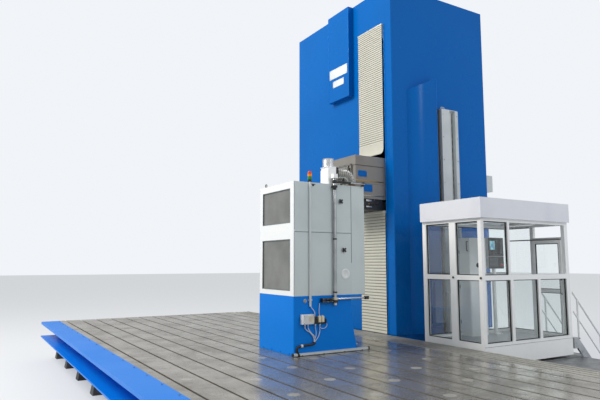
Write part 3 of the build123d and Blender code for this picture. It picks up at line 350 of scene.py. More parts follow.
def louvres(low, high, way, lean, count):
    """A row of pressed vent slats, one above the other, on a wall that faces way."""
    low, high = Vector(low), Vector(high)
    pitch = (high.z - low.z) / count
    slat = block((low.x, low.y, high.z - pitch * 0.72), (high.x, high.y, high.z))
    way = Vector(way)
    bottom = high.z - pitch * 0.72
    edit_edges(slat, lambda a, b: abs(a.z - bottom) < 1e-4 and abs(b.z - bottom) < 1e-4
               and ((a + b) / 2 - (low + high) / 2).dot(way) > 1e-4 and abs((b - a).normalized().dot(way)) < 0.1)
    bpy.ops.transform.translate(value=way * lean)
    leave()
    return row(slat, count, (0, 0, -pitch))


def bow(x, wall, out, low, high, radius):
    """An upright grip of bent round bar that stands off a wall, from low to high."""
    return pipe([(x, wall, low), (x, out, low), (x, out, high), (x, wall, high)], radius, 0.02, 8)


def bent_eye(x, y, low, high, reach, radius, bend):
    """An upright lifting eye of bent round bar, reach wide on either side."""
    corners = [(x - reach, y, low), (x - reach, y, high), (x + reach, y, high), (x + reach, y, low)]
    return pipe(corners, radius, bend, 8, True)


# Finishes. Colours are written as sRGB hex and turned to linear here


def colour(code):
    """A hex value as the linear colour that a socket takes."""
    parts = [int(code[k : k + 2], 16) / 255 for k in (1, 3, 5)]
    return [c / 12.92 if c <= 0.04045 else ((c + 0.055) / 1.055) ** 2.4 for c in parts] + [1.0]


def add(material, kind, settings=None, links=None):
    """Adds a node with its settings, and links its inputs from (node, output) pairs."""
    node = material.node_tree.nodes.new(kind)
    for key, value in (settings or {}).items():
        if key == "stops":
            band = node.color_ramp
            while len(band.elements) < len(value):
                band.elements.new(0.5)
            for element, (position, shade) in zip(band.elements, value):
                element.position = position
                element.color = shade if isinstance(shade, list) else [shade, shade, shade, 1.0]
        elif isinstance(key, str) and hasattr(node, key):
            setattr(node, key, value)
        else:
            node.inputs[key].default_value = value
    for key, (source, output) in (links or {}).items():
        material.node_tree.links.new(source.outputs[output], node.inputs[key])
    return node


def fresh(name):
    """An empty material with the object's own coordinates in it."""
    material = bpy.data.materials.new(name)
    material.use_nodes = True
    material.node_tree.nodes.clear()
    return material, add(material, "ShaderNodeTexCoord")


def noise(material, spot, scale, detail):
    """A noise pattern over the object's own coordinates."""
    return add(material, "ShaderNodeTexNoise", {"Scale": scale, "Detail": detail}, {"Vector": (spot, "Object")})


def band(material, source, low, high, output="Fac"):
    """The pattern as a colour band between two stops of (position, colour)."""
    return add(material, "ShaderNodeValToRGB", {"stops": [low, high]}, {"Fac": (source, output)})


def bump(material, source, distance, strength):
    """The pattern as relief, distance high in metres."""
    return add(material, "ShaderNodeBump", {"Distance": distance, "Strength": strength}, {"Height": (source, "Fac")})


def surface(material, settings, links):
    """The shader that ends a material, linked to its output."""
    shader = add(material, "ShaderNodeBsdfPrincipled", settings, links)
    add(material, "ShaderNodeOutputMaterial", None, {"Surface": (shader, "BSDF")})
    return material


def enamel(name, code, dark, rough=0.28, coat=0.05):
    """Sprayed enamel over filled sheet: long soft waves in the gloss and a faint dulling by dust."""
    material, spot = fresh(name)
    # dust film about 1.5 m across, only just there
    marks = noise(material, spot, 0.7, 4.0)
    tone = band(material, marks, (0.3, colour(dark)), (0.55, colour(code)))
    gloss = add(
        material, "ShaderNodeMapRange", {"From Min": 0.3, "From Max": 0.7, "To Min": rough + 0.07, "To Max": rough},
        {"Value": (marks, "Fac")},
    )
    # filler waves about 0.9 m long under orange peel of 4 mm
    wave = noise(material, spot, 1.1, 1.0)
    swell = bump(material, wave, 0.006, 0.4)
    peel = noise(material, spot, 240.0, 2.0)
    skin = add(
        material, "ShaderNodeBump", {"Distance": 0.0003, "Strength": 0.2},
        {"Height": (peel, "Fac"), "Normal": (swell, "Normal")},
    )
    return surface(
        material, {"Coat Weight": coat, "Coat Roughness": 0.12, "Specular IOR Level": 0.1},
        {"Base Color": (tone, "Color"), "Roughness": (gloss, "Result"), "Normal": (skin, "Normal")},
    )


def powder_coat(name, code, dark, rough=0.42):
    """Baked powder coat: an even satin skin with a fine 1.5 mm texture and grey hand marks."""
    material, spot = fresh(name)
    marks = noise(material, spot, 1.6, 5.0)
    tone = band(material, marks, (0.28, colour(dark)), (0.52, colour(code)))
    grain = noise(material, spot, 650.0, 2.0)
    skin = bump(material, grain, 0.0003, 0.3)
    return surface(material, {"Roughness": rough}, {"Base Color": (tone, "Color"), "Normal": (skin, "Normal")})


def machined(name, code, dark, lay=(1, 1, 1), rough=0.3, pitch=0.008, metal=1.0, stains=1.8):
    """Planed, ground or brushed metal: lines along the tool's path, pitch apart, with oily patches between."""
    material, spot = fresh(name)
    along = add(material, "ShaderNodeMapping", {"Scale": lay}, {"Vector": (spot, "Object")})
    lines = add(
        material, "ShaderNodeTexNoise", {"Scale": 1 / pitch, "Detail": 3.0, "Roughness": 0.7},
        {"Vector": (along, "Vector")},
    )
    oil = add(
        material, "ShaderNodeTexNoise", {"Scale": stains, "Detail": 7.0, "Roughness": 0.65},
        {"Vector": (spot, "Object")},
    )
    both = add(material, "ShaderNodeMix", {"data_type": "FLOAT", "Factor": 0.35}, {2: (oil, "Fac"), 3: (lines, "Fac")})
    tone = band(material, both, (0.38, colour(dark)), (0.62, colour(code)), 0)
    gloss = add(
        material, "ShaderNodeMapRange", {"From Min": 0.35, "From Max": 0.65, "To Min": rough + 0.2, "To Max": rough},
        {"Value": (both, 0)},
    )
    skin = bump(material, lines, 0.0005, 0.25)
    return surface(
        material, {"Metallic": metal},
        {"Base Color": (tone, "Color"), "Roughness": (gloss, "Result"), "Normal": (skin, "Normal")},
    )


def moulded(name, code, rough=0.45, grit=900.0):
    """Moulded plastic or rubber: one colour, a fine spark-eroded grain and paler wear on its high spots."""
    material, spot = fresh(name)
    base = colour(code)
    worn = [min(1.0, c * 1.25 + 0.008) for c in base[:3]] + [1.0]
    rubs = noise(material, spot, 14.0, 6.0)
    tone = band(material, rubs, (0.45, base), (0.8, worn))
    grain = noise(material, spot, grit, 1.0)
    skin = bump(material, grain, 0.0002, 0.3)
    return surface(material, {"Roughness": rough}, {"Base Color": (tone, "Color"), "Normal": (skin, "Normal")})


def casting(name, code, dark, metal=0.0, rough=0.5):
    """A painted or bare casting: sand texture of 3 to 8 mm under the skin, darker where oil and dust sit."""
    material, spot = fresh(name)
    dirt = noise(material, spot, 2.2, 6.0)
    tone = band(material, dirt, (0.35, colour(dark)), (0.6, colour(code)))
    sand = noise(material, spot, 170.0, 4.0)
    skin = bump(material, sand, 0.0009, 0.35)
    return surface(
        material, {"Roughness": rough, "Metallic": metal},
        {"Base Color": (tone, "Color"), "Normal": (skin, "Normal")},
    )


def two_paints(name, front, side, dark, seam):
    """Powder coat in two paints: the front plate, as far as the seam along Y, is whiter than the side sheets."""
    material, spot = fresh(name)
    split = add(material, "ShaderNodeSeparateXYZ", None, {"Vector": (spot, "Object")})
    behind = add(material, "ShaderNodeMath", {"operation": "GREATER_THAN", 1: seam}, {0: (split, "Y")})
    marks = noise(material, spot, 1.2, 4.0)
    tone = band(material, marks, (0.3, colour(dark)), (0.52, colour(side)))
    both = add(
        material, "ShaderNodeMix", {"data_type": "RGBA", 6: colour(front)}, {0: (behind, "Value"), 7: (tone, "Color")},
    )
    grain = noise(material, spot, 650.0, 2.0)
    skin = bump(material, grain, 0.0003, 0.3)
    return surface(material, {"Roughness": 0.4}, {"Base Color": (both, 2), "Normal": (skin, "Normal")})


def acrylic(name, code, dark):
    """Smoked acrylic sheet: nearly opaque, a sharp gloss, and a haze of wiping marks."""
    material, spot = fresh(name)
    haze = noise(material, spot, 2.2, 4.0)
    tint = band(material, haze, (0.35, colour(dark)), (0.65, colour(code)))
    return surface(
        material, {"Roughness": 0.14, "Coat Weight": 0.5, "Coat Roughness": 0.05},
        {"Base Color": (tint, "Color")},
    )


def float_glass(name):
    """Float glass: clear, mirrors only at a flat angle, with a thin film of dust that blurs it in places."""
    material, spot = fresh(name)
    dust = noise(material, spot, 5.0, 5.0)
    film = add(
        material, "ShaderNodeMapRange", {"From Min": 0.4, "From Max": 0.8, "To Min": 0.0, "To Max": 0.05},
        {"Value": (dust, "Fac")},
    )
    return surface(
        material, {"Base Color": colour("#F4F9F9"), "IOR": 1.45, "Transmission Weight": 1.0, "Specular IOR Level": 0.3},
        {"Roughness": (film, "Result")},
    )


def lit(name, code, dark, power, grain=9.0, rough=0.1):
    """A cover over a lamp or a display: a soft uneven glow under a smooth skin."""
    material, spot = fresh(name)
    glow = noise(material, spot, grain, 1.0)
    tint = band(material, glow, (0.4, colour(dark)), (0.6, colour(code)))
    return surface(
        material, {"Roughness": rough, "Emission Strength": power},
        {"Base Color": (tint, "Color"), "Emission Color": (tint, "Color")},
    )


FINISH = {}

NODE_FINISH = {
    "column shaded enamel": (
        "column_front_wall", "column_walls", "column_roof", "front_box", "side_fairing", "column_frame",
    ),
    "base enamel": ("bed", "saddle", "edge_channel", "station_base"),
    "headstock paint": ("headstock_housing",),
    "station coat": ("station_cabinet",),
    "station door coat": ("station_door", "station_shelves"),
    "cabin coat": ("cabin_frame", "cabin_platform", "cabin_door", "door_drive", "cabin_console"),
    "fascia coat": ("cabin_roof",),
    "rail coat": ("cabin_rail", "rear_riser", "station_conduits"),
    "plate iron": ("floor_plates_front", "floor_plates_middle", "floor_plates_rear"),
    "ground steel": ("bed_guideways", "bed_rack", "drive_pinion", "headstock_ways", "vertical_screw"),
    "spindle steel": ("milling_spindle", "boring_spindle", "ram"),
    "apron strip": ("upper_apron", "lower_apron", "apron_box"),
    "cover steel": ("saddle_covers", "bed_covers", "left_cover_1", "left_cover_2", "right_cover_1"),
    "galvanised": ("stairs", "stair_handrails"),
    "slat steel": ("gutter_grating",),
    "bare casting": ("bed_shoes", "plate_pedestals"),
    "motor paint": ("x_drive_gearbox", "spindle_motor"),
    "head paint": ("milling_heads",),
    "black paint": ("headstock_tray", "shaft_bearings", "station_controls"),
    "alloy": ("door_arms",),
    "grey abs": ("cnc_panel",),
    "duct foil": ("station_duct",),
    "red lens": ("emergency_stop",),
    "amber lens": ("signal_tower",),
    "smoked acrylic": ("station_windows",),
    "glass": ("cabin_glass",),
}


class MillLooks(bpy.types.PropertyGroup):
    # the column's blue is darker than the base's: painted shade over the whole column
    column_blue: bpy.props.StringProperty(
        name="Column shaded enamel", description="Enamel of the column, as an sRGB hex value", default="#0064B5",
    )
    base_blue: bpy.props.StringProperty(
        name="Base enamel", description="Enamel of the castings and the station's foot, as an sRGB hex value",
        default="#007CDE",
    )
    cabin_white: bpy.props.StringProperty(
        name="Cabin coat", description="Powder coat of the cabin, as an sRGB hex value", default="#F8F8F6",
    )
    station_grey: bpy.props.StringProperty(
        name="Station coat", description="Powder coat of the station's sides, as an sRGB hex value", default="#CAD4D3",
    )
    apron_cream: bpy.props.StringProperty(
        name="Apron strips", description="Lacquer of the roll-up aprons, as an sRGB hex value", default="#D2D0C2",
    )
    slat_pitch: bpy.props.FloatProperty(
        name="Apron pitch", description="Height of one strip of the upper apron", default=0.052, min=0.03, max=0.1,
        unit="LENGTH",
    )
    link_pitch: bpy.props.FloatProperty(
        name="Chain pitch", description="Height of one link of the cable chain", default=0.060, min=0.04, max=0.12,
        unit="LENGTH",
    )
    cap_size: bpy.props.FloatProperty(
        name="Floor caps", description="Diameter of the caps over the floor's anchor bolts", default=0.17, min=0.05,
        max=0.25, unit="LENGTH",
    )


class MILL_OT_finishes(bpy.types.Operator):
    """Mixes every finish and gives the carried-over parts theirs"""

    bl_idname = "mill.finishes"
    bl_label = "Finishes"

    def execute(self, context):
        looks = context.scene.mill_looks
        blue, base = looks.column_blue, looks.base_blue
        FINISH.update({
            # two-pack enamel on the column's sheet housing: deep gloss, long soft reflections, in a darker blue than
            # the base enamel's: painted shade over the column
            "column shaded enamel": enamel("column_blue_enamel_painted_shade", blue, "#0061B0", 0.24, 0.05),
            # the same enamel on castings and the station's foot, a little duller, in the lighter blue that the column
            # has without its painted shade
            "base enamel": enamel("base_blue_enamel", base, "#0079DA", 0.34),
            # a folded edge, in a lighter blue that is a painted highlight along it
            "highlight enamel": enamel("blue_enamel_painted_highlight", "#1180DC", "#0E76CE", 0.24, 0.2),
            # grey machine paint on the headstock's casting
            "headstock paint": enamel("headstock_grey_paint", "#8E8A84", "#7E7A74", 0.36, 0.2),
            # one housing in two powder coats: the window front is whiter than the grey-green sides
            "station coat": two_paints(
                "station_powder_coat", "#EFF1F0", looks.station_grey, "#C2CCCC", STATION_FRONT + 0.014,
            ),
            # the door in the sides' grey-green, satin, so that it reads as the same sheet metal
            "station door coat": powder_coat("station_door_powder_coat", looks.station_grey, "#C2CCCC"),
            # white coated profiles: the brightest thing on the mill, with soft grey shading
            "cabin coat": powder_coat("cabin_white_powder_coat", looks.cabin_white, "#F1F1EF", 0.36),
            # bent white sheet round the roof, cooler and smoother than the profiles
            "fascia coat": powder_coat("fascia_white_sheet", "#E6E7EC", "#DFE0E7", 0.34),
            # light grey paint on the guide rail and the conduits
            "rail coat": powder_coat("rail_grey_paint", "#CDD2D2", "#BFC5C5", 0.35),
            # blank plates, pale against the enamel
            "bare plate": powder_coat("bare_white_plate", "#E2E5E5", "#D8DBDC", 0.3),
            # planed cast iron, polished by workpieces: lines along X, drawn 11 mm apart so that they show
            "plate iron": machined("planed_cast_iron", "#BAB4A8", "#8D877D", (0.06, 1, 1), 0.15, 0.011, 0.64),
            # guideways, rack and screws: fine lines along X, and a clear shine
            "ground steel": machined("ground_steel", "#B8B7B2", "#8C8A86", (0.08, 1, 1), 0.2, 0.006),
            # ground and hardened: nearly a mirror, with lines round the ram's long side
            "spindle steel": machined("hardened_spindle_steel", "#C8C6C0", "#93918C", (1, 0.1, 1), 0.16, 0.005),
            # lacquered light-metal strips, cream where they face the light, nearly matt
            "apron strip": machined(
                "lacquered_apron_strip", looks.apron_cream, "#C4C2B4", (0.05, 1, 1), 0.42, 0.007, 0.15, 0.9,
            ),
            # bright sheet covers, brushed across the travel and greyed by use
            "cover steel": machined("brushed_cover_steel", "#B5B7B8", "#85888A", (1, 0.05, 1), 0.3, 0.008),
            # zinc spangle, about 25 mm across
            "galvanised": machined("galvanised_steel", "#C2C6C9", "#9DA2A5", (1, 1, 1), 0.42, 0.025, 0.7),
            # treads polished by feet: paler than the plates beside them
            "slat steel": machined("worn_slat_steel", "#D2CFC6", "#A09D95", (0.05, 1, 1), 0.36, 0.01, 0.6),
            # drawn bars of the door's arms, with an even dull shine
            "alloy": machined("ground_arm_steel", "#C9CACA", "#9A9C9E", (1, 1, 1), 0.34, 0.016),
            # pressed caps, scuffed pale: they read as light dots on the dark plates
            "cap alloy": machined("scuffed_cap_aluminium", "#C0BCB3", "#948F87", (1, 1, 1), 0.34, 0.02, 0.4),
            # a bright rolled sleeve and rod: hard highlights down their length
            "tin": machined("bright_tinned_sleeve", "#D6D7D6", "#A9ABAC", (1, 1, 0.05), 0.18, 0.01),
            # gib strips and nozzles: a thin warm line on grey paint
            "bronze": machined("oiled_bronze", "#B99B62", "#7E683C", (1, 1, 1), 0.35, 0.012),
            # unpainted iron under the plates: rough and dark
            "bare casting": casting("bare_cast_iron", "#5D5C5A", "#3A3937", 0.5, 0.55),
            # sand-cast housings in thick grey paint
            "motor paint": casting("motor_grey_paint", "#6E7476", "#4C5153", 0.0, 0.45),
            # the parked heads: lighter, with dirt in the corners
            "head paint": casting("milling_head_paint", "#A9ADAF", "#7F8385", 0.0, 0.42),
            # trays, bearings and screw heads: dark, but with a visible grain
            "black paint": casting("black_machine_paint", "#26282A", "#141516", 0.0, 0.4),
            # glazing beads and wipers: a matt black line round the panes
            "rubber": moulded("black_gasket_rubber", "#1A1B1B", 0.6, 500.0),
            # sealant in the joints: a soft grey line
            "seam strip": moulded("grey_seam_sealant", "#6E7678", 0.6, 500.0),
            # a grey backing behind the strips: painted shade for the shadow line under each
            "apron gap shade": moulded("grey_apron_painted_gap_shade", "#8A8A80", 0.7, 300.0),
            # knobs, grips and chain links, filled with glass fibre: black, with a slight shine
            "black nylon": moulded("black_glass_filled_nylon", "#17181A", 0.4),
            # pale plastic housings
            "grey abs": moulded("light_grey_abs", "#CDD0D2", 0.42),
            # the panel's front: nearly black beside the lit picture
            "slate abs": moulded("slate_grey_abs", "#23272B", 0.4),
            # the membrane's fields, a little paler than the panel
            "key foil": moulded("grey_key_foil", "#7C8286", 0.45),
            # crumpled foil over a wire spiral: pale, with bright and dark bands from rib to rib
            "duct foil": machined("ribbed_aluminium_foil", "#E4E3DE", "#B4B2AC", (1, 1, 1), 0.26, 0.02, 0.7),
            # a brown pressed collar at the duct's foot
            "brown phenolic": moulded("brown_phenolic", "#6B5138", 0.42),
            # coils and hubs, yellowed to cream
            "cream nylon": moulded("cream_polyamide", "#D8D0B4", 0.42),
            # glossy signal colours, seen from far away
            "red lens": moulded("red_polycarbonate", "#D8331A", 0.25),
            "amber lens": moulded("amber_polycarbonate", "#F08A12", 0.25),
            "green lens": moulded("green_polycarbonate", "#178A3F", 0.25),
            # leads with a soft white jacket
            "white cable": moulded("white_pvc_cable", "#D2D4D4", 0.45),
            # a rubber hose, dull black
            "black hose": moulded("black_rubber_hose", "#151617", 0.5),
            # a trodden grey mat
            "mat vinyl": moulded("grey_floor_vinyl", "#B4B6B7", 0.5, 300.0),
            # windows that look grey and flat, because their backs are dusty
            "smoked acrylic": acrylic("smoked_acrylic", "#7C7D78", "#6A6B67"),
            # clear panes with a faint green edge
            "glass": float_glass("float_glass"),
            # a switched-on display: a bluish glow
            "display": lit("lit_display_glass", "#8FC4D0", "#5A8FA6", 0.6),
            # the rest of the display, switched off: black with a sharp shine
            "dark display": lit("dark_display_glass", "#24292E", "#15181B", 0.0),
            # white covers of the cabin's lamps
            "opal": lit("opal_lamp_cover", "#FFFFFF", "#E6EAEC", 1.0, 60.0, 0.4),
        })
        for finish, nodes in NODE_FINISH.items():
            for node in nodes:
                painted(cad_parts[node], FINISH[finish])
        return {"FINISHED"}


# The pieces. Each operator models one piece or group of like pieces at its own place


def strips(left, right, top, face, pitch, lean, count):
    """Overlapping strips of a roll-up apron: one strip that leans out at its lower edge, repeated downwards."""
    foot = top - pitch * STRIP_SHARE
    strip = block((left, face, foot), (right, face + 0.006, top))
    edit_edges(strip, lambda a, b: a.z < foot + 1e-4 and b.z < foot + 1e-4 and abs(a.x - b.x) > 0.1)
    bpy.ops.transform.translate(value=(0, -lean, 0))
    leave()
    edit_edges(strip, lambda a, b: abs(a.x - b.x) > 0.1 and a.y < face + 0.001 and b.y < face + 0.001)
    bpy.ops.mesh.bevel(offset=0.0022, segments=1, affect="EDGES")
    leave()
    return row(strip, count, (0, 0, -pitch))


class MILL_OT_aprons(bpy.types.Operator):
    """Hangs the roll-up aprons over and under the headstock, with the guides that they run in"""

    bl_idname = "mill.aprons"
    bl_label = "Roll-up aprons"

    def execute(self, context):
        pitch = context.scene.mill_looks.slat_pitch
        left, right, roller, lid = APRON_LEFT, APRON_RIGHT, 7.95, BOX["headstock_housing"][1].z
        # the blend starts above the roller, so that the gathered strips stay over the ram
        count = int((roller - 5.40) / pitch)
        upper = strips(left, right, roller, -1.650, pitch, 0.011, count)
        foot = roller - count * pitch
        # the plain flap below the strips, which bows forward over the headstock's lid
        flap = block((left, -1.657, foot - 0.10), (right, -1.653, foot + 0.02))
        edit_faces(flap, lambda centre, normal: normal.z < -0.9)
        for forward, down in ((0.004, 0.06), (0.014, 0.05), (0.024, 0.045), (0.030, 0.022)):
            bpy.ops.mesh.extrude_region_move(TRANSFORM_OT_translate={"value": (0, -forward, -down)})
        leave()
        hem = foot - 0.277
        bead = turned((left, -1.731, hem), (right, -1.731, hem), 0.011, 10)
        apron = finished("upper_apron_strips", [upper, flap, bead], None, "apron strip")
        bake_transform(apron)
        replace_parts(apron, "upper_apron")
        # a grey backing behind the upper strips: painted shade that shows in the gaps between them
        gap_shade = finished(
            "upper_apron_gap_shade",
            panel((left + 0.002, -1.652, foot - 0.05), (right - 0.002, -1.640, roller), FRONT, 0.01, -0.0005), None,
            "apron gap shade",
        )
        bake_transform(gap_shade)

        box_strips = strips(left, right, roller + 6 * pitch, -1.650, pitch, 0.011, 6)
        cap = block((left - 0.01, -1.664, 8.262), (right + 0.01, -1.60, 8.302), 0.004)
        finished("roller_box_strips", [box_strips, cap], "column_carriage", "apron strip")
        # the same painted-shade backing behind the strips on the roller box
        finished(
            "roller_box_gap_shade",
            panel((left + 0.002, -1.652, roller), (right - 0.002, -1.636, 8.268), FRONT, 0.01, -0.0005),
            "column_carriage", "apron gap shade",
        )

        # the lower apron hangs from a bar under the headstock: its strips are deeper and fewer
        low_pitch, bar_top = 0.07, 3.80
        bar = block((left, -1.648, 3.735), (right, -1.612, bar_top), 0.004)
        lower = strips(left, right, 3.735, -1.634, low_pitch, 0.010, 39)
        apron = finished("lower_apron_strips", [bar, lower], None, "apron strip")
        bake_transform(apron)
        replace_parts(apron, "lower_apron")
        # a grey backing behind the lower strips: painted shade in the gaps between them
        gap_shade = finished(
            "lower_apron_gap_shade",
            panel((left + 0.002, -1.636, FLOOR + 0.002), (right - 0.002, -1.629, 3.74), FRONT, 0.01, -0.0005), None,
            "apron gap shade",
        )
        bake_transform(gap_shade)

        # the guides are in the lighter blue of the painted highlight
        guides = [
            block((-0.55, -1.612, 1.0), (-0.517, -1.598, 8.32), 0.003),
            block((0.404, -1.612, 1.0), (0.425, -1.598, 8.32), 0.003),
        ]
        finished("apron_guides", guides, "column_carriage", "highlight enamel")
        bolts = [(x, -1.612, 1.2 + 0.6 * k) for x in (-0.5335, 0.4145) for k in range(12)]
        screwed("apron_guide_screws", bolts, FRONT, 0.008, 0.005, "column_carriage")
        return {"FINISHED"}


class MILL_OT_column_trim(bpy.types.Operator):
    """Adds the bare plates, lifting eyes, doors, seams and edge strips of the column's housing"""

    bl_idname = "mill.column_trim"
    bl_label = "Column trim"

    def execute(self, context):
        body = "column_carriage"
        plates = [
            panel((-1.64, -1.758, 7.45), (-0.86, -1.750, 7.70), FRONT, 0.012, -0.002, 0.001),
            panel((-1.49, -1.758, 7.20), (-1.01, -1.750, 7.37), FRONT, 0.012, -0.002, 0.001),
        ]
        finished("column_bare_plates", plates, body, "bare plate")
        corners = [(x, -1.757, z) for x in (-1.615, -0.885) for z in (7.475, 7.675)]
        corners += [(x, -1.757, z) for x in (-1.468, -1.032) for z in (7.222, 7.348)]
        screwed("column_plate_screws", corners, FRONT, 0.009, 0.005, body)

        # a folded edge down the rear corner of the side fairing and the box's corner on the front, in the lighter blue
        # of a painted highlight
        edges = [
            block((0.866, -0.380, 1.005), (0.877, -0.369, 7.035), 0.003),
            block((-0.806, -1.756, 6.84), (-0.794, -1.744, 9.19), 0.003),
            block((-1.706, -1.756, 6.84), (-1.694, -1.744, 9.19), 0.003),
        ]
        finished("column_edge_folds", edges, body, "highlight enamel")

        # lifting eyes on the roof: a plate with a turned collar and a round eye
        eyes = []
        for x in (-3.2, 0.4):
            for y in (-1.3, 1.25):
                foot = block((x - 0.09, y - 0.09, 9.195), (x + 0.09, y + 0.09, 9.222), 0.006)
                collar = lathe((x, y, 9.22), UP, [(0, 0.05), (0.010, 0.05), (0.020, 0.036), (0.026, 0.034)], 16)
                loop = pipe(
                    [
                        (x + 0.03, y - 0.045, 9.236), (x + 0.13, y - 0.045, 9.218), (x + 0.13, y + 0.045, 9.218),
                        (x + 0.03, y + 0.045, 9.236),
                    ],
                    0.012, 0.03, 8, True,
                )
                eyes += [foot, collar, loop]
        finished("column_lifting_eyes", eyes, body, "base enamel")
        roof_bolts = [(x, y, 9.20) for x in (-3.38, -2.4, -1.4, -0.4, 0.56) for y in (-1.5, 1.45)]
        screwed("column_roof_bolts", roof_bolts, UP, 0.016, 0.012, body)

        # the service door in the rear wall, with hinges, a lever and a bank of vents
        rear = BOX["column_walls"][1].y
        door = panel((-2.62, rear, 1.06), (-1.68, rear + 0.022, 3.10), BACK, 0.05, 0.006, 0.004)
        vents = louvres((-2.45, rear + 0.020, 2.45), (-1.85, rear + 0.028, 2.85), BACK, 0.012, 10)
        finished("column_service_door", [door, vents], body, "column shaded enamel")
        hinges = [
            turned((-2.635, rear + 0.018, z), (-2.635, rear + 0.018, z + 0.11), 0.014, 12, 0.003)
            for z in (1.25, 2.02, 2.80)
        ]
        lever = [
            lathe((-1.76, rear + 0.020, 2.05), BACK, [(0, 0.028), (0.014, 0.028), (0.02, 0.016), (0.034, 0.016)], 16),
            block((-1.772, rear + 0.048, 1.93), (-1.748, rear + 0.062, 2.07), 0.005),
        ]
        finished("column_service_door_fittings", hinges + lever, body, "black nylon")
        ladder_vents = [
            louvres((-3.2, rear, 6.9), (-2.5, rear + 0.014, 7.7), BACK, 0.016, 16),
            louvres((-0.6, rear, 6.9), (0.1, rear + 0.014, 7.7), BACK, 0.016, 16),
        ]
        finished("column_rear_vents", ladder_vents, body, "column shaded enamel")

        # seams where the wall sheets meet, as narrow raised joint strips with rows of screws
        left = BOX["column_walls"][0].x
        joints = [
            block((left - 0.005, -1.42, z - 0.02), (left + 0.001, 1.40, z + 0.02), 0.002) for z in (3.75, 6.45)
        ] + [
            block((-3.30, rear - 0.001, z - 0.02), (0.30, rear + 0.005, z + 0.02), 0.002) for z in (3.75, 6.45)
        ]
        finished("column_joint_strips", joints, body, "column shaded enamel")
        screws = [(left - 0.004, -1.35 + 0.3 * k, z) for z in (3.75, 6.45) for k in range(10)]
        screwed("column_left_screws", screws, LEFT, 0.010, 0.006, body)
        screws = [(-3.2 + 0.38 * k, rear + 0.004, z) for z in (3.75, 6.45) for k in range(10)]
        screwed("column_rear_screws", screws, BACK, 0.010, 0.006, body)
        cover = panel((left - 0.018, -0.50, 1.15), (left, 0.60, 2.55), LEFT, 0.05, -0.004, 0.004)
        finished("column_left_cover", cover, body, "column shaded enamel")
        bolts = [(left - 0.017, y, z) for y in (-0.47, 0.05, 0.57) for z in (1.18, 2.52)]
        screwed("column_left_cover_screws", bolts, LEFT, 0.011, 0.007, body)
        return {"FINISHED"}


